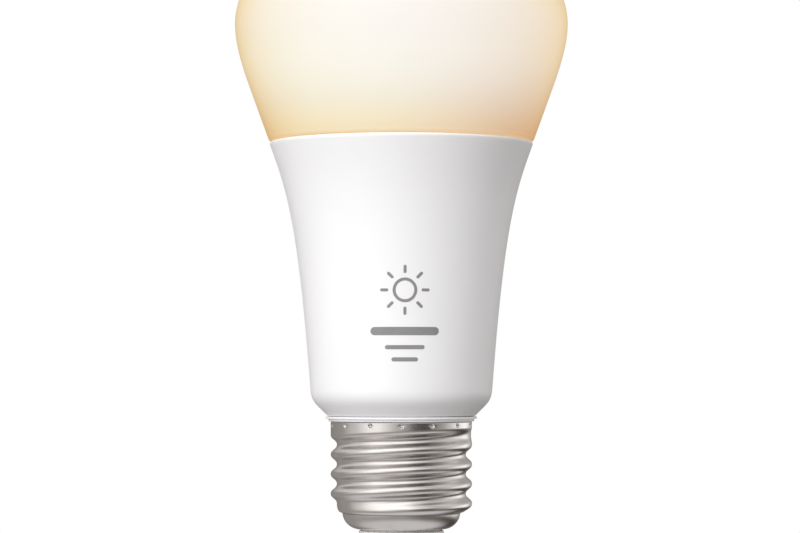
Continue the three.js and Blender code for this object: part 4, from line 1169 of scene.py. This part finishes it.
def make_varistor():
    """A dipped disc, thicker in the middle, with the coating run a little way down its leads."""
    x, y, z = -5.9, 2.2, 33.2
    half = [(0, -1.7), (2.2, -1.66), (3.0, -1.45), (3.4, -1.0)]
    outline = half + [(3.5, 0)] + [(r, -depth) for r, depth in reversed(half)]
    runs = []
    for side in (1, -1):
        top = Vector((x + side * 2.2, y - 2.0, z + side * 0.7))
        foot = Vector((x + side * 2.4, -0.5, z + side * 0.7))
        runs.append(tube([top, top.lerp(foot, 0.5), foot], 0.5, 12, 3))
    return merged(moved(revolve(outline, 56), at(x, y, z)), *runs)


def along_y(bm):
    """A shape turned about Z, laid along Y in the choke's place."""
    return moved(bm, turned(-90, "X"), at(5.6, FRONT_Y + 0.3, 33.4))


def make_choke_winding():
    """Turns of wire side by side on the drum."""
    turn, start, end, core_r, wire_centre, wire_r = 0.4, 1.3, 6.1, 1.7, 2.88, 0.2
    profile = [(core_r, start)]
    for i in range(int((end - start) / turn)):
        for degrees in (12, 50, 90, 130, 168):
            r = wire_centre + wire_r * math.sin(degrees * DEG)
            profile.append((r, start + turn * (i + 0.5 - 0.5 * math.cos(degrees * DEG))))
    return along_y(revolve([*profile, (core_r, end)], 48))


choke_drum = revolve([
    (0, 0), (3.3, 0), (3.5, 0.2), (3.5, 0.95), (3.35, 1.1), (1.5, 1.1), (1.5, 6.3), (3.35, 6.3), (3.5, 6.45),
    (3.5, 7.2), (3.3, 7.4), (0, 7.4),
], 56)
softened("film_box_body", "film_capacitor", 0.2, FILM)
piece("fusible_resistor", make_resistor(), LACQUER, BAND, nodes=["fuse_resistor"])
piece("varistor_disc", make_varistor(), DIPPED, nodes=["varistor"])
piece("choke_drum", along_y(choke_drum), FERRITE, nodes=["choke_core"])
piece("choke_turns", make_choke_winding(), COPPER, nodes=["choke_winding"], sharp_angle=60)
softened("core_upper", "transformer_core_upper", 0.2, FERRITE)
softened("core_lower", "transformer_core_lower", 0.2, FERRITE)
softened("bobbin", "transformer_bobbin", 0.1, PHENOLIC)
softened("taped_winding", "transformer_winding", 0.3, TAPE, 3)


def make_part_leads():
    leads = []
    cans = [(BULK_LEADS, bulk_y, bulk_high.z, 1), (OUTPUT_LEADS, output_y, output_low.z, -1)]
    for places, y, end, up in cans:
        for x, z in places:
            leads.append(to_board(x, z, [(x, y, end - 0.4 * up), (x, y, end + 0.5 * up), (x, y - 1, z)]))
    for (x, z), up in zip(RESISTOR_LEADS, (-1, 1)):
        bend = [(x, 0.2, 19 + 3 * up), (x, 0.2, z - 0.8 * up), (x, -0.4, z - 0.1 * up)]
        leads.append(to_board(x, z, bend))
    for x, z in CHOKE_LEADS:
        leads.append(to_board(x, z, [(x, -0.6, z - 1.2), (x, -1.4, z - 0.3)]))
    for places, y in ((FILM_LEADS, -1.4), (VARISTOR_LEADS, -0.2), (BOBBIN_PINS, -1.6)):
        leads += [to_board(x, z, [(x, y, z)]) for x, z in places]
    return merged(*leads)


piece("part_leads", make_part_leads(), BARE)

# -------- chips on the back of the driver board
LEG_RISE = 0.75
LEG_REACH = 0.8
LEG_WIDTH = 0.4


def make_legs(node, count, spacing):
    """Bent metal legs from both sides of a chip down to the board."""
    low, high = node_box(node)
    bend = [
        (-0.2, LEG_RISE + 0.08), (0.28, LEG_RISE + 0.08), (0.42, 0.16), (LEG_REACH, 0.16), (LEG_REACH, 0.0),
        (0.3, 0.0), (0.18, LEG_RISE - 0.08), (-0.2, LEG_RISE - 0.08),
    ]
    legs = []
    for side, edge in ((1, high.x), (-1, low.x)):
        outline = [(edge + side * out, BACK_Y - height) for out, height in bend]
        for i in range(count):
            z = (low.z + high.z) / 2 + (i - (count - 1) / 2) * spacing
            legs.append(slab(outline, z - LEG_WIDTH / 2, z + LEG_WIDTH / 2))
    return merged(*legs)


def make_chip(node):
    """The moulded body, with a round dimple that marks its first leg."""
    low, high = node_box(node)
    dimple = revolve([(0, -0.1), (0.28, -0.1), (0.34, 0.3), (0, 0.3)], 24)
    moved(dimple, turned(90, "X"), at(high.x - 0.8, low.y, high.z - 0.8))
    return carved(rounded(shape_of(node), 0.12), cut=[dimple])


CHIP_LEGS = {"bridge_rectifier": (2, 2.5), "controller_chip": (4, 0.95), "switching_transistor": (2, 3.2)}
for chip, (count, spacing) in CHIP_LEGS.items():
    piece(f"{chip}_body", make_chip(chip), EPOXY, nodes=[chip], flat_faces=True)
    piece(f"{chip}_legs", make_legs(chip, count, spacing), SOLDER)

# -------- radio board
RADIO_FRONT_Y = node_box("radio_board")[1].y


def on_radio(u, v, height):
    return (u, RADIO_FRONT_Y + height, v)


def make_antenna():
    """A folded antenna track across the top of the radio board, above its feed."""
    route = [(-3.6, 73.4), (-3.6, 76.2)]
    for i in range(5):
        end = 4.6 if i % 2 == 0 else -4.6
        route += [(-end, 78 + 1.2 * i), (end, 78 + 1.2 * i)]
    return ribbon(route, 0.5, on_radio)


def make_shield():
    """Drawn can with two rows of vent holes."""
    low, high = node_box("radio_shield")
    holes = [
        moved(slab(circle(0.3, 20), -0.25, 0.5), turned(-90, "X"), at(1.6 * i, high.y, z))
        for i in range(-2, 3) for z in (low.z + 2.2, high.z - 2.2)
    ]
    return carved(rounded(shape_of("radio_shield"), 0.3, 3), cut=holes)


def make_chip_parts():
    """Small surface parts beside the antenna feed: ceramic bodies with tinned ends."""
    places = [(-3.6, 74.6), (-1.6, 74.6), (0.4, 74.6), (2.4, 74.6), (4.4, 74.6), (4.4, 76.2)]
    bodies, ends = [], []
    for x, z in places:
        bodies.append(rounded(block((x - 0.3, 0.4, z - 0.25), (x + 0.3, 0.9, z + 0.25)), 0.05))
        for end in (x + 0.42, x - 0.42):
            ends.append(rounded(block((end - 0.13, 0.39, z - 0.27), (end + 0.13, 0.92, z + 0.27)), 0.05))
    return merged(*bodies, painted(merged(*ends), 1))


def make_header_pins():
    """The header's pins into the driver board, and their solder on the radio board."""
    pins = []
    for i in range(6):
        x = (i - 2.5) * 1.6
        pins.append(tube([(x, y, 67.5) for y in (-0.3, -1.4, -2.5)], 0.25, 8, 2))
        pins.append(solder_dome(0.5, 0.3, (x, RADIO_FRONT_Y, 65.9), -90))
    return merged(*pins)


CERAMIC = moulded("ceramic_part", (0.30, 0.20, 0.12), (0.38, 0.27, 0.17), 0.45, 1, slot="fibreglass")
softened("radio_laminate", "radio_board", 0.06, LAMINATE, 1)
piece("radio_antenna", make_antenna(), TRACE)
piece("radio_can", make_shield(), SHIELD, nodes=["radio_shield"], flat_faces=True)
piece("radio_chip_parts", make_chip_parts(), CERAMIC, SOLDER)
softened("header_body", "radio_header", 0.12, PHENOLIC)
piece("header_pins", make_header_pins(), BARE)

# -------- internal wires


def led_wire_points(side):
    x, y = side * WIRE_HOLE[0], WIRE_HOLE[1]
    return [
        (side * 6, -1.75, 66.4), (side * 6.1, -1.55, 71.1), (x, y, 74), (x, y, BOARD_TOP + 0.4),
        (x + side * 1.4, y - 0.6, BOARD_TOP + 1.5), (side * WIRE_PAD[0], WIRE_PAD[1], BOARD_TOP + 0.62),
    ]


CONTACT_LEAD = [(-2.6, -1.8, 14.6), (-2.4, -1.6, 12.4), (-0.6, -0.6, 10.2), (0, 0, 8.4), (0, 0, 6.7)]
SHELL_LEAD = [
    (7.9, -1.9, 17.4), (8.3, -1.8, 15.6), (9.3, -0.6, 14.4), (10.2, 0, 14.2), (11.03, 0, 15.4),
    (11.03, 0, 20.6),
]
piece("lead_red", tube(led_wire_points(1), 0.5), RED, nodes=["led_wire_positive"])
piece("lead_black", tube(led_wire_points(-1), 0.5), BLACK, nodes=["led_wire_negative"])
piece("lead_to_contact", tube(CONTACT_LEAD, 0.45), BARE, nodes=["contact_lead"])
piece("lead_to_shell", tube(SHELL_LEAD, 0.27), BARE, nodes=["shell_lead"])


def make_wire_joints():
    """Solder where the wires end: on the LED board, on the driver board, and on the rivet."""
    pad_x, pad_y = WIRE_PAD
    joints = [solder_dome(1.1, 1.3, (x, pad_y, BOARD_TOP)) for x in (pad_x, -pad_x)]
    for x, z in ((6, 66.2), (-6, 66.2), (-2.6, 14.6), (7.9, 17.4)):
        joints.append(solder_dome(0.9, 1.0, (x, FRONT_Y, z), -90))
    joints.append(solder_dome(0.9, 1.0, (0, 0, 6.35)))
    return merged(*joints)


piece("wire_solder", make_wire_joints(), SOLDER)

# -------- stage, light and camera
PAPER_UNDER_BULB = (0.42, 0.41, 0.40, 1)
PAPER_SEEN = (0.8, 0.8, 0.8, 1)
PAPER_FADE = (0.03, 0.11)  # metres from the bulb's axis


def floor_paper():
    """Pale paper, plain under the bulb. To the camera it fades to the background's white further off."""
    material = bpy.data.materials.new("floor_paper")
    paper = Nodes(material)
    paper.tree.nodes.clear()
    seen = paper.node("ShaderNodeLightPath").outputs["Is Camera Ray"]
    matt = paper.node("ShaderNodeBsdfDiffuse")
    paper.link(paper.mix(seen, PAPER_UNDER_BULB, PAPER_SEEN), matt.inputs["Color"])
    distance = paper.node("ShaderNodeVectorMath", operation="LENGTH")
    paper.link(paper.place(), distance.inputs[0])
    fade = paper.span(distance.outputs["Value"], *PAPER_FADE, interpolation="SMOOTHSTEP")
    white = paper.node("ShaderNodeEmission")
    paper.surface("ShaderNodeOutputMaterial", paper.calc("MULTIPLY", fade, seen), matt, white)
    return material


def make_floor():
    half = 3.0
    corners = [(-half, -half, 0), (half, -half, 0), (half, half, 0), (-half, half, 0)]
    floor = bpy.data.meshes.new("floor")
    floor.from_pydata(corners, [], [(0, 1, 2, 3)])
    floor.materials.append(floor_paper())
    obj = link(bpy.data.objects.new("floor", floor))
    obj.visible_glossy = False


make_floor()

# Brightness of the studio round the bulb, by azimuth: 0 is the camera's side, positive is to its right.
LEVEL_PANELS = [
    (-180, 0.26), (-112, 0.42), (-85, 0.8), (-46, 1.5), (0, 0.55), (26, 0.08), (42, 0.06), (65, 0.45),
    (108, 1.3), (128, 1.55), (150, 0.6), (168, 0.28), (180, 0.25),
]
RAISED_PANELS = [
    (-180, 0.5), (-95, 0.9), (-45, 1.75), (5, 1.62), (35, 1.0), (60, 0.7), (105, 0.85), (150, 0.5),
    (180, 0.5),
]
LOW_PANELS = [
    (-180, 0.22), (-140, 0.4), (-90, 0.46), (0, 0.42), (50, 0.24), (120, 0.12), (155, 0.06), (180, 0.22),
]
OVERHEAD = 1.25
BELOW = 0.78
BRIGHTEST = 2.0
DIM = 0.6  # parts of the studio that are dimmer than this are also warmer
MATT_SHARE = 0.74  # of the studio's light, how much falls on matt pieces


def studio_colour(brightness):
    """Colour of a panel, as a share of the brightest."""
    level = brightness / BRIGHTEST
    warmth = max(0.0, 1 - brightness / DIM)
    return (level, (0.985 - 0.12 * warmth) * level, (0.96 - 0.2 * warmth) * level)


def make_world():
    """White to the camera. To the bulb, a studio with broad panels at its left front and right back."""
    world = bpy.data.worlds.new("studio")
    bpy.context.scene.world = world
    studio = Nodes(world)
    studio.tree.nodes.clear()
    direction = studio.node("ShaderNodeSeparateXYZ")
    studio.link(studio.node("ShaderNodeTexCoord").outputs["Generated"], direction.inputs["Vector"])
    away = studio.calc("MULTIPLY", direction.outputs["Y"], -1)
    azimuth = studio.calc("ARCTAN2", direction.outputs["X"], away)
    turn = studio.calc("MULTIPLY_ADD", azimuth, 0.5 / math.pi, 0.5)

    def ring_of(panels):
        return studio.ramp(turn, [((degrees + 180) / 360, studio_colour(light)) for degrees, light in panels])

    def even(light):
        return (light / BRIGHTEST,) * 3 + (1,)

    def blend(first, second, low, high):
        """first where the direction's z is under low, second where it is over high."""
        rise = studio.span(direction.outputs["Z"], low, high, interpolation="SMOOTHSTEP")
        return studio.mix(rise, first, second)

    low = blend(even(BELOW), ring_of(LOW_PANELS), -0.85, -0.5)
    level = blend(low, ring_of(LEVEL_PANELS), -0.38, -0.03)
    upper = blend(level, ring_of(RAISED_PANELS), 0.08, 0.4)
    sky = blend(upper, even(OVERHEAD), 0.88, 1.0)
    path = studio.node("ShaderNodeLightPath")
    matt, rest = BRIGHTEST * MATT_SHARE, BRIGHTEST * (1 - MATT_SHARE)
    lit = studio.node("ShaderNodeBackground")
    studio.link(sky, lit.inputs["Color"])
    strength = studio.calc("MULTIPLY_ADD", path.outputs["Is Glossy Ray"], rest, matt)
    studio.link(strength, lit.inputs["Strength"])
    white = studio.node("ShaderNodeBackground", Color=(1, 1, 1, 1))
    studio.surface("ShaderNodeOutputWorld", path.outputs["Is Camera Ray"], lit, white)


make_world()

LIGHT_TARGET = Vector((0, 0, 0.055))
LIGHT_DISTANCE = 0.9


def area_light(name, azimuth, elevation, size, power):
    """A soft box that lights the matt pieces only: what the metal reflects is the studio."""
    data = bpy.data.lights.new(name, "AREA")
    data.shape = "RECTANGLE"
    data.size, data.size_y = size
    data.energy = power
    lamp = link(bpy.data.objects.new(name, data))
    a, e = azimuth * DEG, elevation * DEG
    away = Vector((math.sin(a) * math.cos(e), -math.cos(a) * math.cos(e), math.sin(e)))
    lamp.location = LIGHT_TARGET + away * LIGHT_DISTANCE
    lamp.rotation_mode = "QUATERNION"
    lamp.rotation_quaternion = away.to_track_quat("Z", "Y")
    lamp.visible_camera = False
    lamp.visible_glossy = False


area_light("key_softbox", -31, 17, (0.45, 0.9), 6.2)
area_light("fill_softbox", 20, 48, (0.5, 0.5), 0.95)

CAMERA_PLACE = (-0.00025, -0.558, 0.0351)
CAMERA_PITCH = 2.07 * DEG


def make_camera():
    data = bpy.data.cameras.new("camera")
    data.lens = 135
    data.sensor_width = 36
    data.clip_start = 0.01
    data.clip_end = 50
    cam = link(bpy.data.objects.new("camera", data))
    cam.location = CAMERA_PLACE
    cam.rotation_euler = (90 * DEG + CAMERA_PITCH, 0, 0)
    bpy.context.scene.camera = cam


make_camera()
bpy.context.scene.view_settings.view_transform = "Standard"
